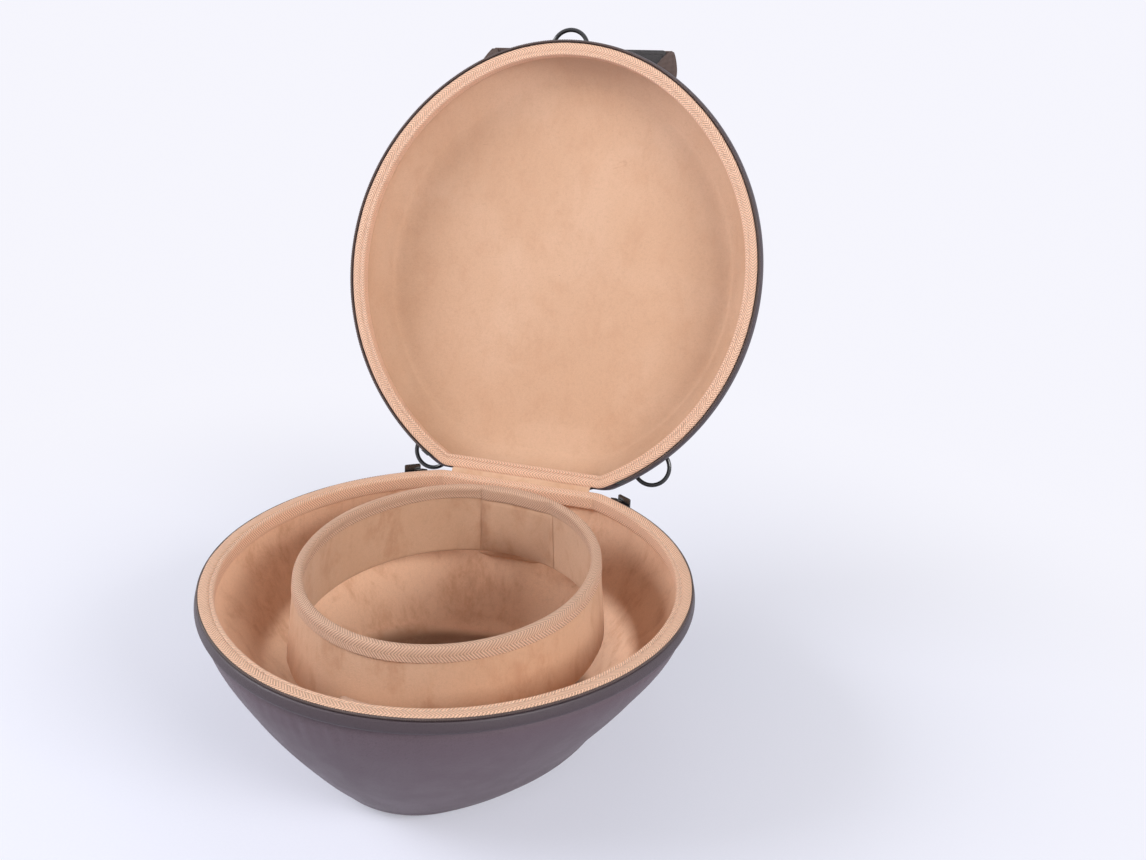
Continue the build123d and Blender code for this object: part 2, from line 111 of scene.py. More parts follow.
class Oval:
    """An outline of three arcs, two back corners and a straight hinge edge."""

    def __init__(self, half_x, front, back, tip, corner, shift=0.0):
        self.shift = shift
        reach = front + shift
        self.tip = tip
        self.tip_y = tip - reach
        self.inset = (reach - half_x) * (reach + half_x - 2 * tip) / (2 * (half_x - tip))
        self.side = half_x + self.inset
        self.corner = corner
        self.back = back - shift
        self.corner_x = sqrt((self.side - corner) ** 2 - (self.back - corner) ** 2) - self.inset
        self.turn_front = atan2(reach - tip, self.inset)
        self.turn_back = atan2(self.back - corner, self.corner_x + self.inset)

    def lengths(self):
        """Half the outline's edges, from the middle of the hinge edge to the front tip."""
        return [
            self.corner_x,
            self.corner * (pi / 2 - self.turn_back),
            self.side * (self.turn_back + self.turn_front),
            self.tip * (pi / 2 - self.turn_front),
        ]

    def outline(self, around):
        """Points and outward directions for shares of the way round, from the hinge, right side first."""
        around = np.asarray(around, float)
        left = around > 0.5
        half = np.where(left, 1 - around, around) * 2
        share = [np.clip((half - a) / (b - a), 0, 1) for a, b in zip(BREAKS, BREAKS[1:])]
        angle = np.full(half.shape, pi / 2)
        angle -= share[1] * (pi / 2 - self.turn_back)
        angle -= share[2] * (self.turn_back + self.turn_front)
        angle -= share[3] * (pi / 2 - self.turn_front)
        way = np.stack([np.cos(angle), np.sin(angle)], -1)
        edge = np.searchsorted(BREAKS[1:-1], half, side="right")
        radius = np.choose(edge, [self.corner, self.corner, self.side, self.tip])
        centre_x = np.choose(edge, [share[0] * self.corner_x, self.corner_x, -self.inset, 0])
        corner_y = self.back - self.corner
        centre_y = np.choose(edge, [corner_y, corner_y, 0, self.tip_y])
        point = np.stack([centre_x, centre_y + self.shift], -1) + way * radius[:, None]
        mirror = np.where(left, -1, 1)
        point[:, 0] *= mirror
        way[:, 0] *= mirror
        return point, way


def rim_oval(grow, back_grow=None):
    """The rim oval moved outwards by grow, its hinge edge by back_grow."""
    back_grow = grow if back_grow is None else back_grow
    corner = CORNER_RADIUS + max(grow, back_grow)
    return Oval(HALF_WIDTH + grow, HALF_LENGTH + grow, HINGE_BACK + back_grow, TIP_RADIUS + grow, corner)


RIM = rim_oval(0.0)
BREAKS = np.cumsum([0] + RIM.lengths()) / sum(RIM.lengths())
RIM_LENGTH = 2 * sum(RIM.lengths())


def wall_row(wall, share):
    """A wall section between the listed ones, on a smooth curve through them."""
    rows = np.array(wall)
    at = rows[:, 0]
    slope = np.gradient(rows, at, axis=0)
    slope[0] *= NECK_SLOPE
    i = int(np.clip(np.searchsorted(at, share) - 1, 0, len(at) - 2))
    gap = at[i + 1] - at[i]
    s = (share - at[i]) / gap
    return (
        rows[i] * (2 * s**3 - 3 * s**2 + 1)
        + slope[i] * gap * (s**3 - 2 * s**2 + s)
        + rows[i + 1] * (3 * s**2 - 2 * s**3)
        + slope[i + 1] * gap * (s**3 - s**2)
    )


def wall_oval(wall, share, inset):
    """The wall's outline at a share of its height, moved in from the skin by inset."""
    share, side, front, back, tip, shift, corner = wall_row(wall, share)
    half_x = HALF_WIDTH - side * MM
    return Oval(half_x - inset, HALF_LENGTH - front * MM - inset, HINGE_BACK - back * MM - inset,
                tip * half_x - inset, corner * MM - inset, shift * MM)


class Half:
    """One half of the case: which way it goes from the rim, its wall and its depth."""

    def __init__(self, name, way, wall, depth):
        self.name = name
        self.way = way
        self.wall = wall
        self.depth = depth
        self.up = lid_up() if way > 0 else np.array([0.0, 0.0, 1.0])

    def place(self, flat, down):
        """Plan points at a distance from the parting plane, in the rest pose."""
        level = np.broadcast_to(RIM_HEIGHT + self.way * np.asarray(down, float), flat.shape[:-1])
        points = np.concatenate([flat, level[..., None]], -1)
        return opened(points) if self.way > 0 else points

    def oval(self, down, inset):
        """The wall's outline at a depth, moved in from the outer skin by inset."""
        if down <= NECK_DEPTH:
            return rim_oval(-NECK_INSET - inset)
        height = self.depth - NECK_DEPTH - inset
        return wall_oval(self.wall, min((down - NECK_DEPTH) / height, 1.0), NECK_INSET + inset)


def hinged(points, angle):
    """Points turned about the hinge line, by an angle that opens the lid."""
    turned = np.array(points, float)
    y = turned[..., 1] - HINGE_BACK
    z = turned[..., 2] - RIM_HEIGHT
    turned[..., 1] = HINGE_BACK + y * cos(angle) + z * sin(angle)
    turned[..., 2] = RIM_HEIGHT - y * sin(angle) + z * cos(angle)
    return turned


def opened(points):
    """Points of the closed lid, turned to the open rest pose."""
    return hinged(points, OPEN_ANGLE)


def closed(points):
    """Points of the open rest pose, turned back to the closed lid."""
    return hinged(points, -OPEN_ANGLE)


def lid_up():
    """The closed lid's upward direction in the rest pose."""
    return np.array([0.0, sin(OPEN_ANGLE), cos(OPEN_ANGLE)])


DISH = Half("dish", -1, DISH_WALL, DISH_DEPTH)
LID = Half("lid", 1, LID_WALL, LID_DEPTH)
HALVES = (DISH, LID)

# Seeds of the waves in each cloth
SKIN_SEED = 4
LINING_SEED = 9
RIM_TAPE_SEED = 3
COLLAR_TAPE_SEED = 12
COLLAR_SEED = 21


def waves(along, across, seed, scale, count=7):
    """Soft even unevenness from a few crossed waves, about one high."""
    random = np.random.default_rng(seed)
    total = 0.0
    for _ in range(count):
        turn, start = random.uniform(0, 2 * pi, 2)
        size = scale * random.uniform(0.6, 1.7)
        total = total + np.sin((along * cos(turn) + across * sin(turn)) * 2 * pi / size + start)
    return total / count**0.5


def eased(share):
    """A share from 0 to 1, held to that range and rounded like a quarter circle."""
    return 1 - (1 - np.clip(share, 0, 1)) ** 2


def make_mesh(name, points, faces, corners=None):
    """A smooth piece; corners hold the cloth's own sizes at each corner of each face."""
    mesh = bpy.data.meshes.new(name)
    mesh.from_pydata(np.asarray(points, float).reshape(-1, 3).tolist(), [], faces)
    if corners is not None:
        layer = mesh.uv_layers.new(name="cloth")
        layer.data.foreach_set("uv", np.asarray(corners, np.float32).ravel())
    mesh.validate()
    mesh.shade_smooth()
    piece = bpy.data.objects.new(name, mesh)
    bpy.context.scene.collection.objects.link(piece)
    return piece


def grid(name, points, along, across=None, loop_along=False, loop_across=False, flip=False):
    """A quad grid; points has rows across and columns along, with the cloth's own sizes beside them.

    Without sizes across, they are measured on the first column.
    """
    rows, columns = points.shape[:2]
    wide = columns if loop_along else columns - 1
    tall = rows if loop_across else rows - 1
    r, c = np.meshgrid(np.arange(tall), np.arange(wide), indexing="ij")
    r, c = r.ravel(), c.ravel()
    steps = [(0, 0), (0, 1), (1, 1), (1, 0)]
    if flip:
        steps = steps[::-1]
    faces = np.stack([(r + i) % rows * columns + (c + j) % columns for i, j in steps], -1)
    u = np.asarray(along, float)
    v = profile_sizes(points[:, 0]) if across is None else np.asarray(across, float)
    u = np.append(u, 2 * u[-1] - u[-2]) if len(u) == wide else u
    v = np.append(v, 2 * v[-1] - v[-2]) if len(v) == tall else v
    corners = np.stack([np.stack([u[c + j], v[r + i]], -1) for i, j in steps], 1)
    return make_mesh(name, points, faces.tolist(), corners)


def finish_piece(piece, body, look, slot, *nodes):
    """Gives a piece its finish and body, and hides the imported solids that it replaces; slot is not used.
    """
    piece.data.materials.append(finish(look))
    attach(piece, body)
    if nodes:
        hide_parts(*nodes)
    return piece


def arc_shares(start, end, step):
    """Even shares of the way round, about step metres apart."""
    count = max(int(round((end - start) * RIM_LENGTH / step)), 8)
    return np.linspace(start, end, count, endpoint=not (start == 0 and end == 1))


def profile_sizes(profile):
    """The length of a run of points from its start to each of them."""
    profile = np.asarray(profile, float)
    return np.concatenate([[0], np.cumsum(np.linalg.norm(np.diff(profile, axis=0), axis=1))])


def rim_band(name, half, profile, around, shift_back=0.0, loop=True, bumps=None):
    """A band round the rim from (outwards, depth) points; shift_back moves it in along the hinge edge."""
    rows = []
    for out, down in profile:
        flat = rim_oval(out, min(out, out + shift_back)).outline(around)[0]
        rows.append(half.place(flat, down))
    points = np.array(rows)
    if bumps is not None:
        points = bumps(points)
    return grid(name, points, around * RIM_LENGTH, profile_sizes(profile), loop, True, half.way < 0)


def round_profile(points, turns=3):
    """Rounds a closed or open run of profile points by cutting its corners a few times."""
    run = np.array(points, float)
    for _ in range(turns):
        near = run[:-1] * 0.75 + run[1:] * 0.25
        far = run[:-1] * 0.25 + run[1:] * 0.75
        middle = np.empty((2 * len(near), run.shape[1]))
        middle[0::2] = near
        middle[1::2] = far
        run = np.concatenate([run[:1], middle[1:-1], run[-1:]])
    return run


def stitch_row(name, starts, ends, lifts, radius):
    """Short arched threads between pairs of points; lifts is the way out of the cloth at each."""
    starts, ends, lifts = (np.asarray(a, float) for a in (starts, ends, lifts))
    count = len(starts)
    run = ends - starts
    side = np.cross(run, lifts)
    side /= np.linalg.norm(side, axis=1)[:, None]
    spots = np.linspace(0, 1, 6)
    turns = np.linspace(0, 2 * pi, 6, endpoint=False)
    rings = []
    for spot in spots:
        arch = sin(pi * spot) ** 0.6
        centre = starts + run * spot + lifts * radius * (1.1 * arch - 0.9)
        thick = radius * (0.45 + 0.55 * arch)
        ring = [centre + thick * (side * cos(t) + lifts * sin(t)) for t in turns]
        rings.append(np.stack(ring, 1))
    points = np.stack(rings, 1)
    faces, corners = [], []
    sides = len(turns)
    for k in range(count):
        base = k * len(spots) * sides
        for i in range(len(spots) - 1):
            for j in range(sides):
                a, b = base + i * sides, base + (i + 1) * sides
                faces.append((a + j, b + j, b + (j + 1) % sides, a + (j + 1) % sides))
                for p, q in ((i, j), (i + 1, j), (i + 1, j + 1), (i, j + 1)):
                    corners.append((p * 0.4 * MM, q * 0.2 * MM))
    return make_mesh(name, points, faces, corners)


class Tree:
    """A node tree with short ways to add the nodes that the finishes, floor and backdrop share."""

    def __init__(self, owner):
        owner.use_nodes = True
        self.tree = owner.node_tree

    def add(self, kind, inputs=None, **settings):
        made = self.tree.nodes.new(kind)
        for key, value in settings.items():
            setattr(made, key, value)
        for key, value in (inputs or {}).items():
            if isinstance(value, bpy.types.NodeSocket):
                self.tree.links.new(value, made.inputs[key])
            else:
                made.inputs[key].default_value = value
        return made

    def maths(self, kind, *values):
        """The outcome of one operation, such as MULTIPLY or MAXIMUM."""
        inputs = dict(enumerate(values))
        return self.add("ShaderNodeMath", inputs, operation=kind).outputs[0]

    def between(self, value, low, high, start=0.0, end=1.0):
        """A soft step from start to end while the value goes from low to high."""
        return self.add("ShaderNodeMapRange", {0: value, 1: low, 2: high, 3: start, 4: end},
                        interpolation_type="SMOOTHSTEP").outputs[0]

    def direct(self):
        """One for what the camera sees straight, in a mirror or through glass."""
        rays = self.add("ShaderNodeLightPath").outputs
        seen = self.maths("MAXIMUM", rays["Is Camera Ray"], rays["Is Glossy Ray"])
        return self.maths("MAXIMUM", seen, rays["Is Transmission Ray"])


class Finish(Tree):
    """A material with its tree, and the patterns that the finishes share."""

    def __init__(self, name, roughness, sheen=0.0, sheen_tint=(1, 1, 1), coat=0.0):
        self.material = bpy.data.materials.new(name)
        super().__init__(self.material)
        self.shader = self.tree.nodes["Principled BSDF"]
        settings = {
            "Roughness": roughness,
            "Sheen Weight": sheen,
            "Sheen Roughness": 0.5,
            "Sheen Tint": (*sheen_tint, 1),
            "Coat Weight": coat,
            "Coat Roughness": 0.15,
        }
        for key, value in settings.items():
            self.shader.inputs[key].default_value = value
        self.spot = self.add("ShaderNodeTexCoord").outputs["Object"]
        self.cloth = self.add("ShaderNodeUVMap", uv_map="cloth").outputs["UV"]
        self.height = None

    def scaled(self, scale):
        """The place on the object, times a scale."""
        return self.add("ShaderNodeMapping", {"Vector": self.spot, "Scale": scale}).outputs[0]

    def noise(self, size, detail=2.0, rough=0.5, stretch=(1, 1, 1), twist=0.0):
        """Noise with features about size metres across."""
        made = self.add("ShaderNodeTexNoise", {
            "Vector": self.scaled(tuple(s / size for s in stretch)), "Scale": 1.0, "Detail": detail,
            "Roughness": rough, "Distortion": twist,
        })
        return made.outputs["Fac"]

    def cells(self, size):
        """Distance to the edge of cells about size metres across."""
        return self.add("ShaderNodeTexVoronoi", {"Vector": self.scaled((1 / size,) * 3), "Scale": 1.0},
                        feature="DISTANCE_TO_EDGE").outputs["Distance"]

    def mix(self, share, first, second):
        """A blend of two colours, each a socket or three numbers."""
        inputs = {0: share}
        for index, value in ((6, first), (7, second)):
            socket = isinstance(value, bpy.types.NodeSocket)
            inputs[index] = value if socket else (*value, 1)
        return self.add("ShaderNodeMix", inputs, data_type="RGBA").outputs[2]

    def ribs(self, value, pitch):
        """A row of round ribs, from 0 in the grooves to 1 on top."""
        turn = self.maths("MULTIPLY", value, 2 * pi / pitch)
        return self.maths("MULTIPLY_ADD", self.maths("SINE", turn), 0.5, 0.5)

    def along(self):
        """The cloth's own sizes, along it and across it."""
        split = self.add("ShaderNodeSeparateXYZ", {0: self.cloth})
        return split.outputs[0], split.outputs[1]

    def raise_by(self, value, depth):
        """Adds a height, in metres between 0 and 1 of the value, to the surface's relief."""
        inputs = {"Height": value, "Distance": depth, "Strength": 1.0}
        if self.height is not None:
            inputs["Normal"] = self.height
        self.height = self.add("ShaderNodeBump", inputs).outputs[0]

    def done(self, colour, rough=None):
        """Links the colour, roughness and relief, and gives the material."""
        for key, value in (("Base Color", colour), ("Roughness", rough), ("Normal", self.height)):
            if value is not None:
                self.tree.links.new(value, self.shader.inputs[key])
        return self.material


def darker(colour, share):
    """A colour times a share; above one it gets lighter."""
    return tuple(c * share for c in colour)


def suede_finish(colours, name="suede", brushed=0.5, shade=1.0, pale=0.0, wall=None, well=None):
    """Short napped cloth: soft patches, brushed smudges and a fine fuzz.

    wall is how far from the rim a painted shade on the wall fades out, and well is an oval inside which the
    colour gets painted shade.
    """
    f = Finish(name, 0.95, sheen=0.22, sheen_tint=(1.0, 0.86, 0.74))
    cloud = f.between(f.noise(0.085, 3, 0.5, twist=0.3), 0.36, 0.70)
    wisp = f.noise(0.0060, 4, 0.7, stretch=(1.0, 1.0, 0.45))
    smudge = f.between(f.noise(0.034, 4, 0.62, stretch=(1.5, 1.5, 0.8), twist=0.5), 0.44, 0.66)
    mark = f.maths("MULTIPLY", smudge, f.between(wisp, 0.34, 0.60, 0.30, 1.0))
    stroke = f.between(f.noise(0.015, 5, 0.72, stretch=(1.0, 0.7, 1.6), twist=1.2), 0.62, 0.76)
    stroke = f.maths("MULTIPLY", stroke, f.between(f.noise(0.080, 2), 0.50, 0.62))
    nap = f.noise(0.0009, 3, 0.7)
    grit = f.noise(0.0026, 3, 0.75)
    colour = f.mix(f.maths("MULTIPLY_ADD", cloud, 0.50 - 0.5 * pale, pale), darker(colours.suede, shade),
                   darker(colours.suede_brushed, shade))
    colour = f.mix(f.maths("MULTIPLY", mark, brushed), colour, darker(colours.suede_mark_and_shade, shade * 1.25))
    colour = f.mix(f.maths("MULTIPLY", stroke, 0.45), colour, darker(colours.suede_mark_and_shade, shade))
    # Painted shade on the lid's wall: darker near the rim, fading out down the wall
    if wall is not None:
        v = f.along()[1]
        colour = f.mix(f.between(v, 0.004, wall, 0.18, 0.0), colour, darker(colours.suede_mark_and_shade, 0.55))
    # Painted shade: darker inside an oval on the dish's floor, where the collar shades it
    if well is not None:
        flat = f.scaled((1 / well[0], 1 / well[1], 0))
        away = f.add("ShaderNodeVectorMath", {0: flat}, operation="LENGTH").outputs["Value"]
        colour = f.mix(f.between(away, 0.90, 0.99, 0.93, 0.0), colour, darker(colours.suede_mark_and_shade, 0.42))
    colour = f.mix(f.between(nap, 0.35, 0.75, 0.0, 0.20), colour, darker(colours.suede, 0.58 * shade))
    colour = f.mix(f.between(grit, 0.45, 0.75, 0.0, 0.16), colour, darker(colours.suede, 0.62 * shade))
    f.raise_by(nap, 0.00020)
    f.raise_by(grit, 0.00016)
    f.raise_by(f.noise(0.012, 3), 0.0004)
    return f.done(colour)


def herringbone_finish(colours, sizes, name="herringbone tape", shade=1.0):
    """Twill tape: slanted ribs that turn back on every second column."""
    tape = darker(colours.tape, shade)
    f = Finish(name, 0.90, sheen=0.08, sheen_tint=(1.0, 0.84, 0.72))
    u, v = f.along()
    column = f.maths("DIVIDE", v, sizes.tape_column)
    slant = f.maths("MULTIPLY", f.maths("PINGPONG", column, 1.0), sizes.tape_column)
    rib = f.ribs(f.maths("ADD", u, slant), sizes.twill_pitch)
    thread = f.ribs(v, sizes.twill_pitch * 0.42)
    fray = f.noise(0.0016, 3, 0.7)
    soft = f.between(f.maths("MULTIPLY_ADD", fray, 0.5, f.maths("SUBTRACT", rib, 0.25)), 0.12, 0.78)
    fuzz = f.noise(0.0011, 3, 0.7)
    dirt = f.between(f.noise(0.030, 4, 0.6, twist=1.0), 0.45, 0.75, 0.0, 0.35)
    colour = f.mix(soft, darker(tape, 0.58), tape)
    colour = f.mix(f.maths("MULTIPLY", thread, 0.14), colour, darker(tape, 0.70))
    colour = f.mix(dirt, colour, darker(tape, 0.74))
    colour = f.mix(f.between(fuzz, 0.4, 0.8, 0.0, 0.22), colour, darker(colours.tape_light, shade))
    f.raise_by(soft, 0.00036)
    f.raise_by(fuzz, 0.00014)
    return f.done(colour)


def skin_finish(colours, name="outer skin", shade=1.0):
    """Soft coated skin with a fine grain, a little paler where it is rubbed."""
    f = Finish(name, 0.46, coat=0.06)
    grain = f.cells(0.0011)
    crease = f.noise(0.0045, 4, 0.6, twist=0.6)
    rub = f.between(f.noise(0.090, 3, 0.5), 0.45, 0.80, 0.0, 0.10)
    low, high = darker(colours.skin, 0.80 * shade), darker(colours.skin, shade)
    colour = f.mix(f.between(grain, 0.02, 0.16), low, high)
    colour = f.mix(rub, colour, darker(colours.skin_rubbed, shade))
    f.raise_by(f.between(grain, 0.0, 0.22), 0.00007)
    f.raise_by(crease, 0.00006)
    rough = f.between(f.noise(0.020, 3), 0.3, 0.7, 0.46, 0.54)
    return f.done(colour, rough)


def webbing_finish(name, base, pitch):
    """Ribbed strap cloth: bold cross ribs split by fine lengthwise threads."""
    f = Finish(name, 0.80, sheen=0.12, sheen_tint=(0.8, 0.7, 0.66))
    u, v = f.along()
    rib = f.ribs(u, pitch)
    thread = f.ribs(v, pitch * 0.62)
    fuzz = f.noise(0.0008, 2, 0.7)
    weave = f.maths("MULTIPLY", f.between(rib, 0.1, 0.8), f.between(thread, 0.0, 0.8, 0.55, 1.0))
    colour = f.mix(weave, darker(base, 0.45), tuple(base))
    colour = f.mix(f.between(fuzz, 0.45, 0.8, 0.0, 0.30), colour, darker(base, 1.45))
    f.raise_by(weave, 0.00035)
    return f.done(colour)


def coil_finish(colours):
    """Moulded nylon, paler in worn patches."""
    f = Finish("zip coil", 0.36)
    worn = f.between(f.noise(0.012, 3), 0.45, 0.75, 0.0, 0.35)
    speck = f.noise(0.0012, 2)
    colour = f.mix(worn, tuple(colours.zip), darker(colours.zip, 1.6))
    f.raise_by(speck, 0.00005)
    return f.done(colour, f.between(speck, 0.3, 0.7, 0.32, 0.48))


def metal_finish(colours):
    """Black enamel on bent wire, thin and greyer where it has been handled."""
    f = Finish("black enamel", 0.24, coat=0.5)
    worn = f.between(f.noise(0.006, 4, 0.65), 0.56, 0.74, 0.0, 0.5)
    speck = f.noise(0.0009, 2)
    colour = f.mix(worn, tuple(colours.metal), darker(colours.metal, 3.0))
    f.raise_by(speck, 0.00002)
    return f.done(colour, f.between(worn, 0.0, 0.5, 0.20, 0.36))


def grip_finish(colours):
    """Grained black face of the strap's hand side."""
    f = Finish("grip face", 0.42, coat=0.05)
    grain = f.cells(0.0013)
    colour = f.mix(f.between(grain, 0.02, 0.2), darker(colours.grip, 0.5), tuple(colours.grip))
    f.raise_by(f.between(grain, 0.0, 0.25), 0.00010)
    return f.done(colour, f.between(f.noise(0.015, 3), 0.3, 0.7, 0.36, 0.50))


def panel_finish(colours):
    """Pebbled hard plastic, scuffed where it slides on a shelf."""
    f = Finish("base panel", 0.6)
    pebble = f.cells(0.0018)
    scuff = f.between(f.noise(0.014, 5, 0.7, stretch=(1.0, 0.3, 1.0)), 0.58, 0.72, 0.0, 0.5)
    colour = f.mix(scuff, tuple(colours.panel), darker(colours.panel, 2.4))
    f.raise_by(f.between(pebble, 0.0, 0.3), 0.00015)
    return f.done(colour)


def thread_finish(name, base):
    """Twisted sewing thread."""
    f = Finish(name, 0.75)
    u, v = f.along()
    ply = f.ribs(f.maths("ADD", u, v), 0.0005)
    colour = f.mix(ply, darker(base, 0.6), tuple(base))
    f.raise_by(ply, 0.00008)
    return f.done(colour)


# Half sizes of the oval inside which the dish's lining gets painted shade, and how far down the lid's wall
# the painted shade at its rim fades out
DISH_SHADED_WELL = (107 * MM, 132 * MM)
LID_SHADE = 52 * MM

FINISHES = {}


def finish(name):
    """The named finish, made the first time that a piece asks for it."""
    if name not in FINISHES:
        colours, sizes = bpy.context.scene.case_colours, bpy.context.scene.case_sizes
        makers = {
            "suede": lambda: suede_finish(colours),
            "lid_suede": lambda: suede_finish(colours, "lid suede", 0.20, 0.96, wall=LID_SHADE),
            "dish_suede": lambda: suede_finish(colours, "dish suede", 0.60, 1.16, 0.85, well=DISH_SHADED_WELL),
            "collar_suede": lambda: suede_finish(colours, "collar suede", 0.62, 0.95),
            "tape": lambda: herringbone_finish(colours, sizes),
            # The collar's tape: the same herringbone tape, 0.8 times as dark
            "worn_tape": lambda: herringbone_finish(colours, sizes, "worn herringbone tape", 0.80),
            "skin": lambda: skin_finish(colours),
            "welt": lambda: skin_finish(colours, "rim welt", 0.52),
            "webbing": lambda: webbing_finish("ribbed webbing", colours.webbing, sizes.webbing_rib),
            "zip_tape": lambda: webbing_finish("zip tape", colours.zip_tape, sizes.webbing_rib * 0.5),
            "coil": lambda: coil_finish(colours),
            "metal": lambda: metal_finish(colours),
            "grip": lambda: grip_finish(colours),
            "panel": lambda: panel_finish(colours),
            "tan_thread": lambda: thread_finish("tan thread", colours.tape_light),
            "dark_thread": lambda: thread_finish("dark thread", darker(colours.zip_tape, 0.9)),
            "black_thread": lambda: thread_finish("black thread", darker(colours.grip, 1.6)),
        }
        FINISHES[name] = makers[name]()
    return FINISHES[name]


END_SHARES = (0.97, 0.9, 0.78, 0.62, 0.44, 0.24, 0.08, 0.002)
WELT_PROFILE = [
    (-1.9, 3.5), (1.7, 3.5), (2.8, 4.2), (3.4, 6.2), (3.9, 8.6), (3.9, 10.6), (2.8, 12.0), (0.4, 12.6),
    (-1.3, 12.9),
]
NECK_PROFILE = [(-1.8, 12.0), (-1.7, 13.0), (-1.3, 14.2), (-0.85, 16.2)]
SKIN_ROWS = 64
LINING_ROWS = 44


def closed_end(half, oval, down, around):
    """Rings that close the flat end of a half towards its middle."""
    flat = oval.outline(around)[0]
    middle = np.array([0.0, oval.shift])
    return [half.place(middle + (flat - middle) * share, down) for share in END_SHARES]


def wall_shares(count):
    """Shares of the wall's height, closer together towards the flat end."""
    return 1 - (1 - np.linspace(0, 1, count)) ** 1.35


def rim_welt(half):
    """The darker padded bead that runs round the skin just under the zip."""
    around = arc_shares(0, 1, 2.2 * MM)
    bead = round_profile(WELT_PROFILE) * MM
    rings = []
    for out, down in bead:
        flat = rim_oval(out, min(out, -NECK_INSET)).outline(around)[0]
        rings.append(half.place(flat, down))
    piece = grid(f"{half.name}_rim_welt", np.array(rings), around * RIM_LENGTH, profile_sizes(bead),
                 loop_along=True, flip=half.way > 0)
    return finish_piece(piece, half.name, "welt", "plum_skin")


def outer_skin(half):
    """The moulded skin: a neck drawn in under the bead, the wall and the flat end."""
    around = arc_shares(0, 1, 1.6 * MM)
    run = around * RIM_LENGTH
    rings = []
    for out, down in NECK_PROFILE:
        flat, way = rim_oval(out * MM).outline(around)
        flat = flat + way * (np.abs(pleats(around)) * 0.30 * MM)[:, None]
        rings.append(half.place(flat, down * MM))
    height = half.depth - NECK_DEPTH
    for share in wall_shares(SKIN_ROWS):
        down = NECK_DEPTH + height * share
        flat, way = wall_oval(half.wall, share, NECK_INSET).outline(around)
        dent = waves(run, down, SKIN_SEED, 0.16) * 0.05 * MM * sin(pi * min(share * 1.2, 1))
        pull = np.exp(-(share / 0.13) ** 2) * pleats(around) * 0.34 * MM
        flat = flat + way * (dent + pull)[:, None]
        rings.append(half.place(flat, down))
    rings += closed_end(half, wall_oval(half.wall, 1.0, NECK_INSET), half.depth, around)
    name = f"{half.name}_outer_skin"
    piece = grid(name, np.array(rings), run, loop_along=True, flip=half.way > 0)
    return finish_piece(piece, half.name, "skin", "plum_skin", f"{half.name}_cover", f"{half.name}_shell")


def pleats(around):
    """Small upright puckers where the skin is drawn in under the bead, most of them at the front."""
    run = around * RIM_LENGTH
    front = np.exp(-(((around - 0.515) / 0.035) ** 2)) + 0.22
    return front * (np.sin(run / (1.5 * MM)) + 0.8 * np.sin(run / (2.3 * MM) + 1.0)) * 0.5


def suede_lining(half):
    """The lining, from under the edge tape down the wall and over the flat end."""
    around = arc_shares(0, 1, 2.4 * MM)
    run = around * RIM_LENGTH
    height = half.depth - NECK_DEPTH - LINING_INSET
    inset = NECK_INSET + LINING_INSET
    upright = rim_oval(-NECK_INSET - LINING_INSET).outline(around)[0]
    rings = [half.place(upright, down) for down in np.linspace(3.4 * MM, NECK_DEPTH, 6)[:-1]]
    for share in wall_shares(LINING_ROWS):
        flat, way = wall_oval(half.wall, share, inset).outline(around)
        ripple = waves(run, share * height, LINING_SEED, 0.09) * 0.30 * MM
        rings.append(half.place(flat - way * np.abs(ripple)[:, None], NECK_DEPTH + height * share))
    rings += closed_end(half, wall_oval(half.wall, 1.0, inset), half.depth - LINING_INSET, around)
    name = f"{half.name}_suede_lining"
    piece = grid(name, np.array(rings), run, loop_along=True, flip=half.way < 0)
    return finish_piece(piece, half.name, f"{half.name}_suede", "tan_suede", f"{half.name}_lining")


# The edge tape's section as (outwards, depth) in mm; the dish's has a lip over the zip
TAPE_PROFILE = [
    (-0.35, 3.30), (0.0, 2.7), (0.05, 1.9), (-0.7, 1.12), (-2.4, 0.98), (-4.2, 1.05), (-5.4, 1.45),
    (-6.1, 2.05), (-6.7, 1.95), (-7.4, 1.45), (-8.6, 1.5), (-9.4, 2.1), (-9.6, 3.6), (-9.5, 6.0),
    (-9.45, 9.0), (-9.2, 11.3), (-8.6, 12.0), (-7.6, 11.6), (-7.0, 9.0), (-6.8, 4.2), (-3.5, 3.35),
]
TAPE_LIP = [(-0.35, 3.5), (1.15, 3.45), (1.5, 2.7), (1.2, 1.7), (0.1, 1.05)]
# The stitched groove in the tape's face, and how far in front of the hinge the zip's parts start
GROOVE_OUT = -6.4 * MM
GROOVE_DOWN = 1.85 * MM
ZIP_TAPE_START = 9.0 * MM
ZIP_COIL_START = 12.0 * MM


def rim_tape(half):
    """Herringbone tape folded over the rim, sewn down along a groove."""
    pitch = bpy.context.scene.case_sizes.stitch_pitch
    around = arc_shares(0, 1, 0.95 * MM)
    run = around * RIM_LENGTH
    profile = round_profile(TAPE_LIP + TAPE_PROFILE[4:] if half.way < 0 else TAPE_PROFILE, 2) * MM

    def pucker(points):
        face = profile[:, 1:2] < 4 * MM
        near = np.exp(-(((profile[:, 0:1] - GROOVE_OUT) / (1.3 * MM)) ** 2)) * face
        stitch = np.cos(run * 2 * pi / pitch)
        ripple = waves(run, 0, RIM_TAPE_SEED, 0.03)
        drop = -half.way * (near * stitch * 0.16 * MM + face * ripple * 0.10 * MM)
        return points + np.minimum(drop, 0.25 * MM)[..., None] * half.up

    piece = rim_band(f"{half.name}_rim_tape", half, profile, around, -HINGE_ROOM, bumps=pucker)
    finish_piece(piece, half.name, "tape", "tan_herringbone", f"{half.name}_binding")
    groove_stitches(half, pitch)


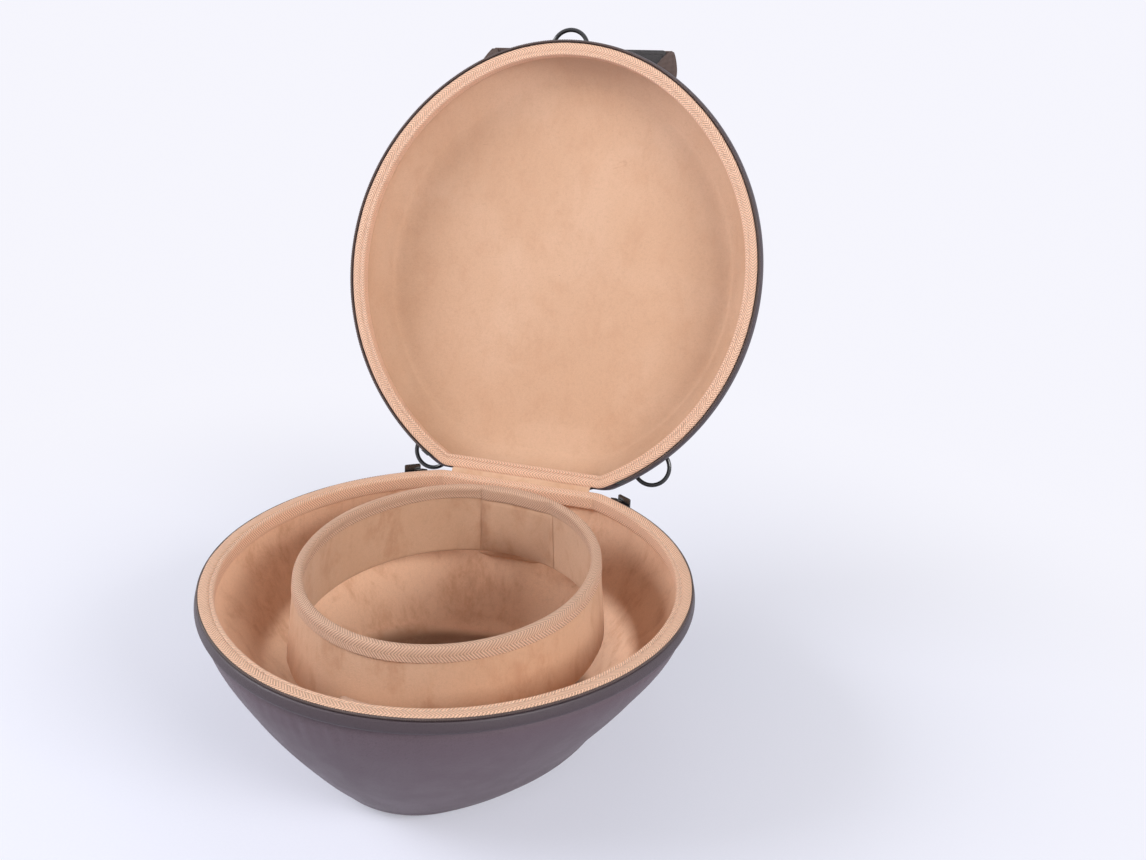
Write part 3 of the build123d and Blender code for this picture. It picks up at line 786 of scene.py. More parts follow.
def groove_stitches(half, pitch):
    """The row of stitches in the edge tape's groove."""
    count = int(RIM_LENGTH / pitch)
    middle = (np.arange(count) + 0.5) / count
    reach = 0.34 * pitch / RIM_LENGTH
    ends = []
    for side in (-1, 1):
        out = GROOVE_OUT + side * 0.35 * MM
        flat = rim_oval(out, out - HINGE_ROOM).outline(middle + side * reach)[0]
        ends.append(half.place(flat, GROOVE_DOWN))
    lifts = np.broadcast_to(-half.way * half.up, ends[0].shape)
    piece = stitch_row(f"{half.name}_rim_stitches", *ends, lifts, 0.32 * MM)
    return finish_piece(piece, half.name, "tan_thread", "tan_herringbone")


def zip_share(gap):
    """The share of the way round at which the right side arc is gap in front of the hinge."""
    turn = np.arcsin((HINGE_BACK - gap) / RIM.side)
    chord, corner = RIM.lengths()[:2]
    return (chord + corner + (RIM.turn_back - turn) * RIM.side) / RIM_LENGTH


def zip_tape(half):
    """The woven tape that carries the coil, sewn in under the edge tape."""
    start = zip_share(ZIP_TAPE_START)
    around = arc_shares(start, 1 - start, 2.0 * MM)
    profile = np.array([(-5.5, 2.65), (1.5, 2.65), (1.7, 3.0), (1.5, 3.4), (-5.5, 3.4)]) * MM
    piece = rim_band(f"{half.name}_zip_cloth", half, profile, around, loop=False)
    return finish_piece(piece, half.name, "zip_tape", "brown_tape", f"{half.name}_zip_tape")


def zip_coil(half):
    """The coil: a round run whose slanted ribs are the teeth."""
    pitch = bpy.context.scene.case_sizes.coil_pitch
    start = zip_share(ZIP_COIL_START)
    around = arc_shares(start, 1 - start, pitch / 5)
    run = around * RIM_LENGTH
    rings = []
    turns = np.linspace(0, 2 * pi, 13, endpoint=False)
    reach, middle = (1.5 * MM, 2.6 * MM) if half.way < 0 else (1.45 * MM, 1.42 * MM)
    for turn in turns:
        rib = np.clip(np.cos(run * 2 * pi / pitch + 1.2 * sin(turn)), -0.5, 1.0)
        radius = (0.86 + 0.24 * rib) * MM
        flat, way = RIM.outline(around)
        flat = flat + way * (reach + radius * cos(turn))[:, None]
        rings.append(half.place(flat, middle + radius * sin(turn)))
    name = f"{half.name}_zip_teeth"
    piece = grid(name, np.array(rings), run, turns * MM, loop_across=True, flip=half.way < 0)
    return finish_piece(piece, half.name, "coil", "brown_zip", f"{half.name}_zip_coil")


def zip_stops(half):
    """Crimped metal blocks at both ends of the coil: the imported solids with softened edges."""
    return show_node(f"{half.name}_zip_stops", "metal", 0.35 * MM)


def show_node(name, look, radius):
    """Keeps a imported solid, with its own finish and slightly softened edges."""
    node = dyed_node(name, look)
    bevel = node.modifiers.new("soft edges", "BEVEL")
    bevel.width = radius
    bevel.segments = 3
    bevel.limit_method = "ANGLE"
    bevel.angle_limit = radians(40)
    return node


def dyed_node(name, look):
    """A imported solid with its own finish."""
    node = frame["nodes"][name]
    node.data.materials.clear()
    node.data.materials.append(finish(look))
    return node


def unit(vectors):
    """The same directions, each one long."""
    vectors = np.asarray(vectors, float)
    return vectors / np.linalg.norm(vectors, axis=-1, keepdims=True)


def even_path(points, step):
    """The same run with points about step apart."""
    points = np.asarray(points, float)
    sizes = profile_sizes(points)
    spots = np.linspace(0, sizes[-1], max(int(sizes[-1] / step), 4) + 1)
    return np.stack([np.interp(spots, sizes, points[:, i]) for i in range(points.shape[1])], 1)


def loops_mesh(name, runs, along=None, flip=False):
    """A piece from lines along it, one for each corner of its section, with both ends drawn together."""
    loops = np.asarray(runs, float).transpose(1, 0, 2)
    ends = []
    for end in (loops[0], loops[-1]):
        middle = end.mean(0)
        ends.append([middle + (end - middle) * share for share in (0.7, 0.35, 0.02)])
    stack = np.array(ends[0][::-1] + list(loops) + ends[1])
    across = profile_sizes(np.concatenate([loops[0], loops[0][:1]]))[:-1]
    if along is None:
        run = profile_sizes(stack.mean(1))
    else:
        past = MM * np.array([1, 2, 3])
        run = np.concatenate([along[0] - past[::-1], along, along[-1] + past])
    return grid(name, stack.transpose(1, 0, 2), run, across, loop_across=True, flip=flip)


# A strap's section, in shares of half its width and half its thickness
STRAP_CORNER = np.array([(1, 0), (0.985, 0.6), (0.93, 0.92), (0.8, 1.0), (0.4, 1.0), (0, 1.0)])
STRAP_SECTION = np.concatenate([
    STRAP_CORNER,
    STRAP_CORNER[-2::-1] * (-1, 1),
    STRAP_CORNER[1:] * (-1, -1),
    STRAP_CORNER[-2:0:-1] * (1, -1),
])


def strap(name, path, sides, thick, look, body, slot, *nodes, round_ends=1.5 * MM, flip=False):
    """A flat woven band along a path; sides are half its width, as vectors across it."""
    path, sides = np.asarray(path, float), np.asarray(sides, float)
    run = unit(np.gradient(path, axis=0))
    half = np.linalg.norm(sides, axis=1, keepdims=True)
    sides = unit(sides - run * (sides * run).sum(1, keepdims=True))
    up = np.cross(run, sides)
    sizes = profile_sizes(path)
    from_end = np.minimum(sizes, sizes[-1] - sizes)
    ease = np.sqrt(np.clip(eased(from_end / round_ends), 0.05, 1))[:, None]
    half = half * (1 - (1 - ease) * 0.1)
    runs = [path + sides * half * a + up * thick / 2 * b * ease for a, b in STRAP_SECTION]
    piece = loops_mesh(name, runs, flip=not flip)
    return finish_piece(piece, body, look, slot, *nodes)


def round_runs(path, across, normal, radius, sides):
    """Lines along a path, all round it at a radius."""
    turns = np.linspace(0, 2 * pi, sides, endpoint=False)
    return np.array([path + radius * (across * cos(t) + normal * sin(t)) for t in turns])


def hinge_cloth(name, dish, lid, half_wide, thick, look, slot, *nodes):
    """A strip over the hinge line, through places on the dish and on the closed lid.

    The places are (outwards, up) in mm from the hinge line.
    """
    runs = []
    for steps in (dish, lid):
        out, up = np.array(steps).T * MM
        runs.append(np.column_stack([np.zeros(len(out)), HINGE_BACK + out, RIM_HEIGHT + up]))
    corners = np.concatenate([runs[0], opened(runs[1])])
    path = even_path(round_profile(corners), 0.7 * MM)
    sides = np.tile((half_wide, 0.0, 0.0), (len(path), 1))
    return bent_over(strap(name, path, sides, thick, look, "dish", slot, *nodes))


def outer_hinge_cloth():
    """The skin strip that bends from the dish's back wall to the lid's."""
    dish = [(0.75, -down) for down in np.linspace(20, 4, 12)] + [(1.3, -2.4), (2.0, -1.6)]
    lid = [(0.75, up) for up in np.linspace(4, 20, 12)]
    return hinge_cloth("hinge_outer_cloth", dish, lid, HINGE_HALF, 1.1 * MM, "skin", "plum_skin",
                       "hinge_strip_dish", "hinge_strip_lid")


def inner_hinge_cloth():
    """Lining cloth over the hinge line, from the dish's edge tape to under the lid's."""
    dish = [(-5.2, -1.9), (-3.6, -1.5), (-2.4, -0.7), (-1.1, 0.5), (0.1, 1.6)]
    lid = [(-1.6, 1.5), (-2.6, 2.9), (-4.4, 3.7), (-6.5, 3.9), (-7.4, 5.2), (-6.9, 8.0), (-6.2, 11.0)]
    half_wide = HINGE_HALF + 1.2 * MM
    return hinge_cloth("hinge_inner_cloth", dish, lid, half_wide, 0.6 * MM, "suede", "tan_suede",
                       "hinge_strip_inner")


def bent_over(piece):
    """Takes a strip off its parent and bakes its place into its points."""
    world = piece.matrix_world.copy()
    piece.parent = None
    piece.matrix_world = world
    end = tuple(opened(np.array([(0, HINGE_BACK, RIM_HEIGHT + 3.0 * MM)]))[0])
    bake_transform(piece)
    return piece


# The crown collar: levels, half width and length at the top, how far it widens downwards, thickness
COLLAR_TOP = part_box("collar_tape")[1].z
COLLAR_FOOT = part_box("collar_cover")[0].z
COLLAR_X = 101.0 * MM
COLLAR_Y = 125.7 * MM
COLLAR_FLARE = 6.0 * MM
COLLAR_THICK = 5.5 * MM


def collar_radii(level, inset=0.0):
    """Half the collar's width and length at a level, moved in by inset."""
    drop = (COLLAR_TOP - level) / (COLLAR_TOP - COLLAR_FOOT)
    return COLLAR_X + COLLAR_FLARE * drop - inset, COLLAR_Y + COLLAR_FLARE * drop - inset


def collar_points(turns, inset, level, bulge=0.0):
    """Points round the collar's cone at a level, moved in by inset and out by bulge."""
    half_x, half_y = collar_radii(level, inset)
    way = unit(np.stack([half_y * np.cos(turns), half_x * np.sin(turns)], -1))
    flat = np.stack([half_x * np.cos(turns), half_y * np.sin(turns)], -1)
    flat = flat + way * np.asarray(bulge)[..., None]
    return np.column_stack([flat, np.full(len(flat), level)])


def collar_turns(step, start=0.0, end=2 * pi):
    """Turns round the collar about step metres apart, and how far round each is."""
    length = 2 * pi * sqrt((COLLAR_X**2 + COLLAR_Y**2) / 2)
    count = int(round((end - start) / (2 * pi) * length / step))
    full = abs(end - start - 2 * pi) < 1e-9
    turns = np.linspace(start, end, count, endpoint=not full)
    return turns, turns * length / (2 * pi)


# Upright folds of the collar's cloth: share of the way round, half its width and its height in mm
FOLDS = [
    (0.452, 2.6, 1.3), (0.478, 3.4, 0.9), (0.520, 4.0, 0.8), (0.60, 5.0, 0.5), (0.80, 5.0, 0.5),
    (0.93, 4.0, 0.6), (0.30, 5.0, 0.6),
]
COVER_HEM = [(0.35, 0.7), (1.1, 0.1), (2.7, -0.1), (4.3, 0.1), (5.1, 0.7)]


def cloth_slack(run, level, depth):
    """Uneven hang of cloth over the board: slow waves, and a few upright folds low down."""
    height = (level - COLLAR_FOOT) / (COLLAR_TOP - COLLAR_FOOT)
    slow = waves(run, level, COLLAR_SEED, 0.10) * 0.30 * MM
    folds = 0.0
    for place, wide, high in FOLDS:
        centre = place * run[-1] + waves(np.array([level]), 0, int(place * 100), 0.03)[0] * 1.2 * MM
        folds = folds + high * MM * np.exp(-((run - centre) / (wide * MM)) ** 2)
    return (slow + folds * (1 - height) ** 0.7) * depth


def collar_cover():
    """Suede over the collar's board: down the outside, round its foot and up the inside."""
    turns, run = collar_turns(1.6 * MM)
    levels = np.linspace(COLLAR_TOP - 3 * MM, COLLAR_FOOT + 1.6 * MM, 34)
    rows = [collar_points(turns, 0.0, level, cloth_slack(run, level, 1.0)) for level in levels]
    rows += [collar_points(turns, inset * MM, COLLAR_FOOT + up * MM) for inset, up in COVER_HEM]
    for level in levels[::-1]:
        rows.append(collar_points(turns, COLLAR_THICK, level, -np.maximum(cloth_slack(run, level, 0.4), 0)))
    piece = grid("collar_suede", np.array(rows), run, loop_along=True)
    return finish_piece(piece, "dish", "collar_suede", "tan_suede", "collar_cover", "collar_board")


COLLAR_SEAM = -6.5 * MM
COLLAR_TAPE_PROFILE = [
    (-0.55, -10.0), (-0.95, -9.7), (-1.0, -8.4), (-0.75, -6.5), (-1.0, -4.5), (-1.0, -2.2), (0.2, -0.3),
    (2.7, 0.25), (5.2, -0.3), (6.45, -2.2), (6.45, -4.5), (6.2, -6.5), (6.45, -8.4), (6.4, -9.7),
    (6.0, -10.0), (5.7, -7.0), (2.7, -3.2), (-0.2, -7.0),
]


def collar_tape():
    """Edge tape folded over the collar's top, with a dotted seam below."""
    pitch = bpy.context.scene.case_sizes.stitch_pitch
    turns, run = collar_turns(0.95 * MM)
    stitch = np.cos(run * 2 * pi / pitch)
    sway = waves(run, 0, COLLAR_TAPE_SEED, 0.06) * 0.22 * MM
    rows = []
    for inset, up in round_profile(COLLAR_TAPE_PROFILE, 2) * MM:
        near = np.exp(-(((up - COLLAR_SEAM) / (1.2 * MM)) ** 2))
        side = -1 if inset > 2.7 * MM else 1
        ring = collar_points(turns, inset, COLLAR_TOP + up, side * near * stitch * 0.14 * MM)
        ring[:, 2] += np.clip(sway, -0.4 * MM, 0.3 * MM)
        rows.append(ring)
    piece = grid("collar_edge_tape", np.array(rows), run, loop_along=True, loop_across=True, flip=True)
    finish_piece(piece, "dish", "worn_tape", "tan_herringbone", "collar_tape")
    count = int(run[-1] / pitch)
    spots = (np.arange(count) + 0.5) / count * 2 * pi
    reach = 0.30 * pitch / run[-1] * 2 * pi
    level = COLLAR_TOP + COLLAR_SEAM
    starts, ends = (collar_points(spots + step, -0.62 * MM, level) for step in (-reach, reach))
    lifts = unit(collar_points(spots, -2 * MM, level) - collar_points(spots, 0.0, level))
    threads = stitch_row("collar_tape_stitches", starts, ends, lifts, 0.30 * MM)
    return finish_piece(threads, "dish", "tan_thread", "tan_herringbone")


# The lapped end's section and its tape's: share across its thickness, then share up it or mm above its top
LAP_SECTION = [(1, 1), (1, 0), (1, -0.9), (0.8, -1), (-0.8, -1), (-1, -0.9), (-1, 0), (-1, 1), (1, 1)]
LAP_TAPE_SECTION = [
    (1.0, -10), (1.14, -9.6), (1.16, -5), (1.1, -1.2), (0.5, 0.3), (-0.5, 0.3), (-1.0, -1.2), (-1.02, -9.6),
    (-0.9, -10), (0.0, -6.5), (1.0, -10),
]
LAP_FADE_RIGHT = 24 * MM
LAP_FADE_LEFT = 11 * MM
LAP_SWELL = 3.2 * MM


def flap_turns(step):
    """Turns along the lapped end, from its free end to where it leaves the collar's line."""
    low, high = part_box("collar_flap")
    radius = COLLAR_X - COLLAR_THICK - 0.9 * MM
    return collar_turns(step, np.arccos(high.x / radius), np.arccos(low.x / radius))


def collar_flap():
    """The padded end of the collar's band, lapped inside at the back, with its own edge tape."""
    turns, run = flap_turns(1.2 * MM)
    foot = COLLAR_FOOT + 1.0 * MM
    right = np.clip((run - run[0]) / LAP_FADE_RIGHT, 0, 1)
    swell = (3 * right**2 - 2 * right**3) * eased((run[-1] - run) / LAP_FADE_LEFT)
    face = COLLAR_THICK + 0.10 * MM + LAP_SWELL * swell
    runs = []
    for side, up in round_profile(LAP_SECTION, 2)[:-1]:
        level = (COLLAR_TOP + foot) / 2 + up * ((COLLAR_TOP - foot) / 2 - 0.4 * MM)
        deep = face - (LAP_SWELL + 0.2 * MM) * swell * np.clip(-up, 0, 1) ** 4
        runs.append(collar_points(turns, deep if side > 0 else COLLAR_THICK - 0.5 * MM, level))
    piece = loops_mesh("collar_lapped_end", runs, run)
    finish_piece(piece, "dish", "collar_suede", "tan_suede", "collar_flap")
    step = np.clip((run[-1] - run) / (1.2 * MM), 0, 1) ** 0.5
    outer = COLLAR_THICK - 0.2 * MM
    inner = np.maximum(face, COLLAR_THICK + 0.3 * MM) + 0.85 * MM * step * right**0.5
    runs = []
    for share, up in round_profile(LAP_TAPE_SECTION, 2)[:-1]:
        runs.append(collar_points(turns, outer + (inner - outer) * (share + 1) / 2, COLLAR_TOP + up * MM))
    finish_piece(loops_mesh("collar_lap_tape", runs, run), "dish", "worn_tape", "tan_herringbone")
    dyed_node("collar_hook_strip", "zip_tape")
    return piece


def collar_seat(end):
    """A covered foam block between the collar and the dish wall."""
    name = "collar_seat_front" if end < 0 else "collar_seat_back"
    low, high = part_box(name)
    across = np.linspace(low.x + 0.4 * MM, high.x - 0.4 * MM, 41)
    from_end = np.minimum(across - across[0], across[-1] - across)
    ease = np.sqrt(np.clip(eased(from_end / (5 * MM)), 0.05, 1))
    runs = []
    for share, up in round_profile([(0, 1), (1, 1), (1, 0), (0, 0), (0, 1)])[:-1]:
        level = low.z + up * (high.z - low.z) + (0.5 - up) * (1 - ease) * 6 * MM
        half_x, half_y = collar_radii(level)
        near = half_y * np.sqrt(1 - (across / half_x) ** 2) + 0.5 * MM
        far = np.array([wall_reach(x, z, end) for x, z in zip(across, level)]) - 0.5 * MM
        near = near + (far - near) * 0.75 * np.clip((COLLAR_FOOT + 3 * MM - level) / (4 * MM), 0, 1)
        runs.append(np.column_stack([across, end * (near + (far - near) * share), level]))
    piece = loops_mesh(f"{name}_pad", runs, across, flip=end < 0)
    finish_piece(piece, "dish", "suede", "foam_board", name)
    return piece


def wall_reach(x, z, end):
    """How far the dish's lining is from the middle at a place across and a level."""
    oval = DISH.oval(RIM_HEIGHT - z, LINING_INSET + 1.0 * MM)
    if end > 0:
        return oval.back + oval.shift
    return -(oval.tip_y + oval.shift - sqrt(oval.tip**2 - x**2))


def ring_frame(name):
    """A strap ring's bar: its middle, the way out of the wall, along the bar and up the lid."""
    joint = JOINTS[f"{name}_ring_swing"]
    along = unit(joint["axis"])
    up = lid_up()
    return np.array(joint["pos_m"]), unit(np.cross(along, up)), along, up


def lid_share(spot):
    """The share of the way round that is nearest to a place on the lid."""
    shares = np.linspace(0, 1, 6001)
    away = RIM.outline(shares)[0] - closed(spot)[:2]
    return shares[np.argmin((away**2).sum(1))]


PATCH_THICK = 1.15 * MM


def wall_patch(name, spot, half_wide, half_high, *nodes):
    """A sewn patch of webbing that follows the lid's wall, with softened edges."""
    middle = lid_share(spot)
    level = closed(spot)[2] - RIM_HEIGHT
    wide = np.linspace(-1, 1, 45)
    high = np.linspace(-1, 1, 37)
    rows = []
    for h in high:
        edge = np.minimum((1 - np.abs(wide)) * half_wide, (1 - abs(h)) * half_high) / (1.2 * MM)
        lift = PATCH_THICK * np.sqrt(eased(edge)) - 0.3 * MM * (edge <= 0)
        flat, way = LID.oval(level + h * half_high, 0.0).outline(middle + wide * half_wide / RIM_LENGTH)
        flat = flat + way * (lift + 0.1 * MM)[:, None]
        rows.append(LID.place(flat, level + h * half_high))
    piece = grid(name, np.array(rows), wide * half_wide, high * half_high)
    finish_piece(piece, "lid", "webbing", "brown_webbing", *nodes)
    box_stitches(f"{name}_stitches", middle, level, half_wide - 2 * MM, half_high - 2 * MM)
    return piece


def box_stitches(name, middle, level, wide, high):
    """A sewn box with a cross in it, as straps are tacked down."""
    corners = np.array([(-wide, -high), (wide, -high), (wide, high), (-wide, high)])
    starts, ends = [], []
    for first, second in ((0, 1), (1, 2), (2, 3), (3, 0), (0, 2), (1, 3)):
        run = corners[second] - corners[first]
        count = max(int(np.linalg.norm(run) / (2.6 * MM)), 2)
        for k in range(count):
            starts.append(corners[first] + run * (k + 0.14) / count)
            ends.append(corners[first] + run * (k + 0.86) / count)

    def on_wall(flat, lift):
        spots = []
        for u, v in flat:
            spot, way = LID.oval(level + v, 0.0).outline([middle + u / RIM_LENGTH])
            spots.append(LID.place(spot + way * (PATCH_THICK + lift * MM), level + v)[0])
        return np.array(spots)

    first = on_wall(starts, 0.12)
    lifts = unit(on_wall(starts, 9) - first)
    piece = stitch_row(name, first, on_wall(ends, 0.12), lifts, 0.28 * MM)
    return finish_piece(piece, "lid", "dark_thread", "brown_webbing")


# Strap rings: wire radius, bend of the corners and radius of the bow; TAB_LOOP is the tab's, in mm
RING_WIRE = 1.75 * MM
RING_CORNER = 2.0 * MM
RING_RADIUS = 25.0 * MM / 2 + RING_WIRE
WIRE_SIDES = 20
TAB_LOOP = 2.48


def ring_tab(name):
    """Webbing sewn to the lid's wall, with a loop of it round the ring's bar."""
    spot, out, along, up = ring_frame(name)
    wall_patch(f"{name}_tab_patch", spot, 11.5 * MM, 9.0 * MM, f"{name}_ring_tab")
    arc = [(TAB_LOOP * cos(t), TAB_LOOP * sin(t)) for t in np.linspace(radians(80), radians(-80), 15)]
    upper = [(-2.3, 7.6), (-1.9, 5.0), (-0.6, 3.1)]
    lower = [(x, -y) for x, y in upper[::-1]]
    flat = even_path(round_profile(upper + arc + lower, 2), 0.4) * MM
    path = spot + flat[:, :1] * out + flat[:, 1:] * up
    sides = np.tile(along * 11.4 * MM, (len(path), 1))
    return strap(f"{name}_tab_loop", path, sides, 1.05 * MM, "webbing", "lid", "brown_webbing")


def strap_ring(name):
    """A bent-wire ring: straight bar, two tight corners and a half round."""
    spot, out, along = ring_frame(name)[:3]
    half_bar = RING_RADIUS - RING_CORNER
    bar = [(0, y) for y in np.linspace(-half_bar, half_bar, 12)]
    turns = np.linspace(0.2, pi / 2, 6)
    bend = [(RING_CORNER * (1 - cos(t)), half_bar + RING_CORNER * sin(t)) for t in turns]
    turns = np.linspace(0.12, pi - 0.12, 40)
    bow = [(RING_CORNER + RING_RADIUS * sin(t), RING_RADIUS * cos(t)) for t in turns]
    back = [(x, -y) for x, y in bend[::-1]]
    flat = np.array(bar + bend + bow + back)
    path = spot + flat[:, :1] * out + flat[:, 1:] * along
    run = unit(np.roll(path, -1, 0) - np.roll(path, 1, 0))
    centre = path.mean(0)
    normal = unit(np.cross(path[0] - centre, path[len(path) // 3] - centre))
    rings = round_runs(path, unit(np.cross(run, normal)), normal, RING_WIRE, WIRE_SIDES)
    girth = np.linspace(0, 2 * pi, WIRE_SIDES, endpoint=False) * RING_WIRE
    piece = grid(f"{name}_strap_ring", rings, profile_sizes(path), girth, True, True, True)
    return finish_piece(piece, f"{name}_ring", "metal", "black_metal", f"{name}_d_ring")


# The carrying strap, in the closed lid's frame: levels are above the rim, y is the case's own
FITTING_TURN = radians(3.4)
HANDLE_LEVEL = 60.0 * MM
HANDLE_REACH = HALF_LENGTH + 9.6 * MM
HANDLE_BAND = 38.0 * MM
PIVOT_Y = 21.0 * MM - HALF_LENGTH
PIVOT_LEVEL = 35.0 * MM
FOOT_X = 74.0 * MM
FOOT_HALF = 10.0 * MM
BAND_Y = HANDLE_BAND / 2 - HANDLE_REACH
BEAD_RADIUS = 2.0 * MM
ANCHOR_LOOP = 2.72 * MM
# The strap's folded end, right side: across, along and up in mm, and half its width
FOLD_RUN = [
    (75.6, 1.2 - HANDLE_REACH / MM, 59.8, 1.6), (75.0, -184.0, 55.5, 4.8), (74.2, -176.0, 49.0, 8.2),
    (73.8, -168.0, 42.5, 10.4), (73.9, -161.5, 38.0, 10.4), (74.0, PIVOT_Y / MM, 34.8, 10.0),
]


def fitted(points):
    """Points in the handle's own closed-lid frame, turned with it and opened with the lid."""
    points = np.asarray(points, float)
    x, y, z = points[..., 0], points[..., 1], points[..., 2]
    turned = np.stack([
        x * cos(FITTING_TURN) + y * sin(FITTING_TURN),
        -x * sin(FITTING_TURN) + y * cos(FITTING_TURN),
        z + RIM_HEIGHT,
    ], -1)
    return opened(turned)


def fitted_way(points):
    """Directions in the handle's own frame, turned like fitted points."""
    return fitted(points) - fitted(np.zeros(3))


def handle_strap():
    """The carrying strap: a wide band whose ends fold over at the corners and run down to the lid."""
    level = HANDLE_LEVEL + 1.2 * MM
    across = np.linspace(-76.8 * MM, 76.8 * MM, 110)
    bow = [(x, BAND_Y, level + 0.4 * MM * cos(x / (77 * MM) * pi / 2)) for x in across]
    sides = np.tile((0.0, HANDLE_BAND / 2, 0.0), (len(bow), 1))
    strap("handle_strap", fitted(bow), fitted_way(sides), 2.3 * MM, "webbing", "handle", "brown_webbing",
          "handle_webbing", round_ends=1.2 * MM)
    for hand, side in ((1, "right"), (-1, "left")):
        fold = even_path(round_profile(FOLD_RUN), 1.2) * MM
        fold[:, 0] *= hand
        sides = np.column_stack([fold[:, 3], np.zeros((len(fold), 2))])
        strap(f"handle_fold_{side}", fitted(fold[:, :3]), fitted_way(sides), 2.0 * MM, "webbing", "handle",
              "brown_webbing", round_ends=0.6 * MM, flip=hand < 0)
        handle_bead(hand, side)


def handle_bead(hand, side):
    """The round bead at the foot of the strap's end, on which it swings."""
    half = FOOT_HALF - 0.3 * MM
    path = fitted([(hand * x, PIVOT_Y, PIVOT_LEVEL) for x in np.linspace(FOOT_X - half, FOOT_X + half, 14)])
    run = unit(np.gradient(path, axis=0))
    across = unit(np.cross(run, lid_up()))
    runs = round_runs(path, across, np.cross(across, run), BEAD_RADIUS, 16)
    piece = loops_mesh(f"handle_bead_{side}", runs, flip=True)
    return finish_piece(piece, "handle", "webbing", "brown_webbing")


def grip_band(name, start, end, level, half, thick, slot, node, round_ends=1.5 * MM):
    """A flat band under the strap's middle, from start to end across the case."""
    path = fitted([(x, BAND_Y, level) for x in np.linspace(start, end, 80)])
    sides = fitted_way(np.tile((0.0, half, 0.0), (len(path), 1)))
    return strap(name, path, sides, thick, "grip", "handle", slot, node, round_ends=round_ends)


def grip():
    """Pad and grained face under the strap's middle, sewn round the edge."""
    lower = HANDLE_LEVEL - 2.2 * MM
    pad = grip_band("handle_grip_pad", -53.5 * MM, 59.5 * MM, HANDLE_LEVEL - 0.8 * MM, 16.6 * MM, 1.7 * MM,
                    "foam_board", "handle_pad")
    grip_band("handle_grip_face", -54.8 * MM, 71.0 * MM, lower, 18.6 * MM, 1.3 * MM, "black_skin",
              "handle_lining", 3 * MM)
    seam = lower - 0.66 * MM
    pitch, stitch = 3.1, 2.2
    starts, ends = [], []
    for side in (-1, 1):
        for x in np.arange(-51.5, 67.0, pitch):
            starts.append((x * MM, BAND_Y + side * 15.2 * MM, seam))
            ends.append(((x + stitch) * MM, BAND_Y + side * 15.2 * MM, seam))
    for x in (-51.5, 68.0):
        for y in np.arange(-14.5, 13.0, pitch):
            starts.append((x * MM, BAND_Y + y * MM, seam))
            ends.append((x * MM, BAND_Y + (y + stitch) * MM, seam))
    lifts = np.tile(-lid_up(), (len(starts), 1))
    threads = stitch_row("handle_grip_stitches", fitted(starts), fitted(ends), lifts, 0.28 * MM)
    return finish_piece(threads, "handle", "black_thread", "black_skin")


def handle_anchor(hand):
    """A sewn patch with a tongue and an open loop that carries the strap's bead."""
    name = "right" if hand > 0 else "left"
    spot = fitted((hand * FOOT_X, PIVOT_Y, PIVOT_LEVEL))
    wall_patch(f"{name}_anchor_patch", spot, 10.0 * MM, 9.4 * MM, f"{name}_handle_anchor")
    loop = []
    for t in np.linspace(radians(84), radians(280), 30):
        loop.append((hand * FOOT_X, PIVOT_Y + ANCHOR_LOOP * sin(t), PIVOT_LEVEL + ANCHOR_LOOP * cos(t)))
    low = fitted((hand * FOOT_X, PIVOT_Y + 2.9 * MM, PIVOT_LEVEL))
    high = LID.place(LID.oval(PIVOT_LEVEL, 0.0).outline([lid_share(spot)])[0], PIVOT_LEVEL)[0]
    paths = (
        ("loop", fitted(loop), 1.25 * MM, 0.6 * MM),
        ("tongue", low + (high - low) * np.linspace(0, 1, 14)[:, None], 2.9 * MM, 0.4 * MM),
    )
    for part, path, thick, round_ends in paths:
        sides = fitted_way(np.tile((7.0 * MM, 0, 0), (len(path), 1)))
        strap(f"{name}_anchor_{part}", path, sides, thick, "webbing", "lid", "brown_webbing",
              round_ends=round_ends)


BACKDROP = (0.920, 0.918, 0.985)


def floor_material():
    """Pale paper that keeps the shadow near the case and fades into the backdrop further out."""
    f = Finish("paper floor", 0.9)
    away = f.add("ShaderNodeVectorMath", {0: f.spot}, operation="LENGTH").outputs["Value"]
    far = f.between(away, 0.12, 0.75, 0.30, 1.0)
    f.shader.inputs["Specular IOR Level"].default_value = 0.1
    fibre = f.noise(0.0016, 3, 0.6)
    colour = f.mix(f.between(fibre, 0.3, 0.7), (0.84, 0.86, 0.99), (0.86, 0.88, 1.0))
    f.raise_by(fibre, 0.00003)
    f.done(colour)
    glow = f.add("ShaderNodeEmission", {"Color": (*BACKDROP, 1), "Strength": 1.0}).outputs[0]
    share = f.maths("MULTIPLY", f.direct(), far)
    blend = f.add("ShaderNodeMixShader", {0: share, 1: f.shader.outputs[0], 2: glow})
    output = next(n for n in f.tree.nodes if n.type == "OUTPUT_MATERIAL")
    f.tree.links.new(blend.outputs[0], output.inputs["Surface"])
    return f.material


# Name, place (m), size (m), power (W) and colour of each lamp, and the place they all point at
LAMPS = [
    ("key light", (2.1, -1.25, 1.45), (1.5, 1.0), 52.0, (1.0, 0.985, 0.96)),
    ("left fill", (-2.0, -0.8, 1.5), (1.6, 1.2), 50.0, (0.97, 0.975, 1.0)),
    ("top light", (0.3, 0.5, 2.3), (1.6, 1.2), 3.0, (0.98, 0.98, 1.0)),
]
LAMP_AIM = (0, 0.08, 0.2)

# The photograph's camera: yaw, pitch and roll in degrees, place (m) and focal length on 36 mm
CAMERA_TURNS = (-13.60, 21.46, 3.11)
CAMERA_PLACE = (0.2779, -0.8127, RIM_HEIGHT + 0.4447)
CAMERA_LENS = 43.67


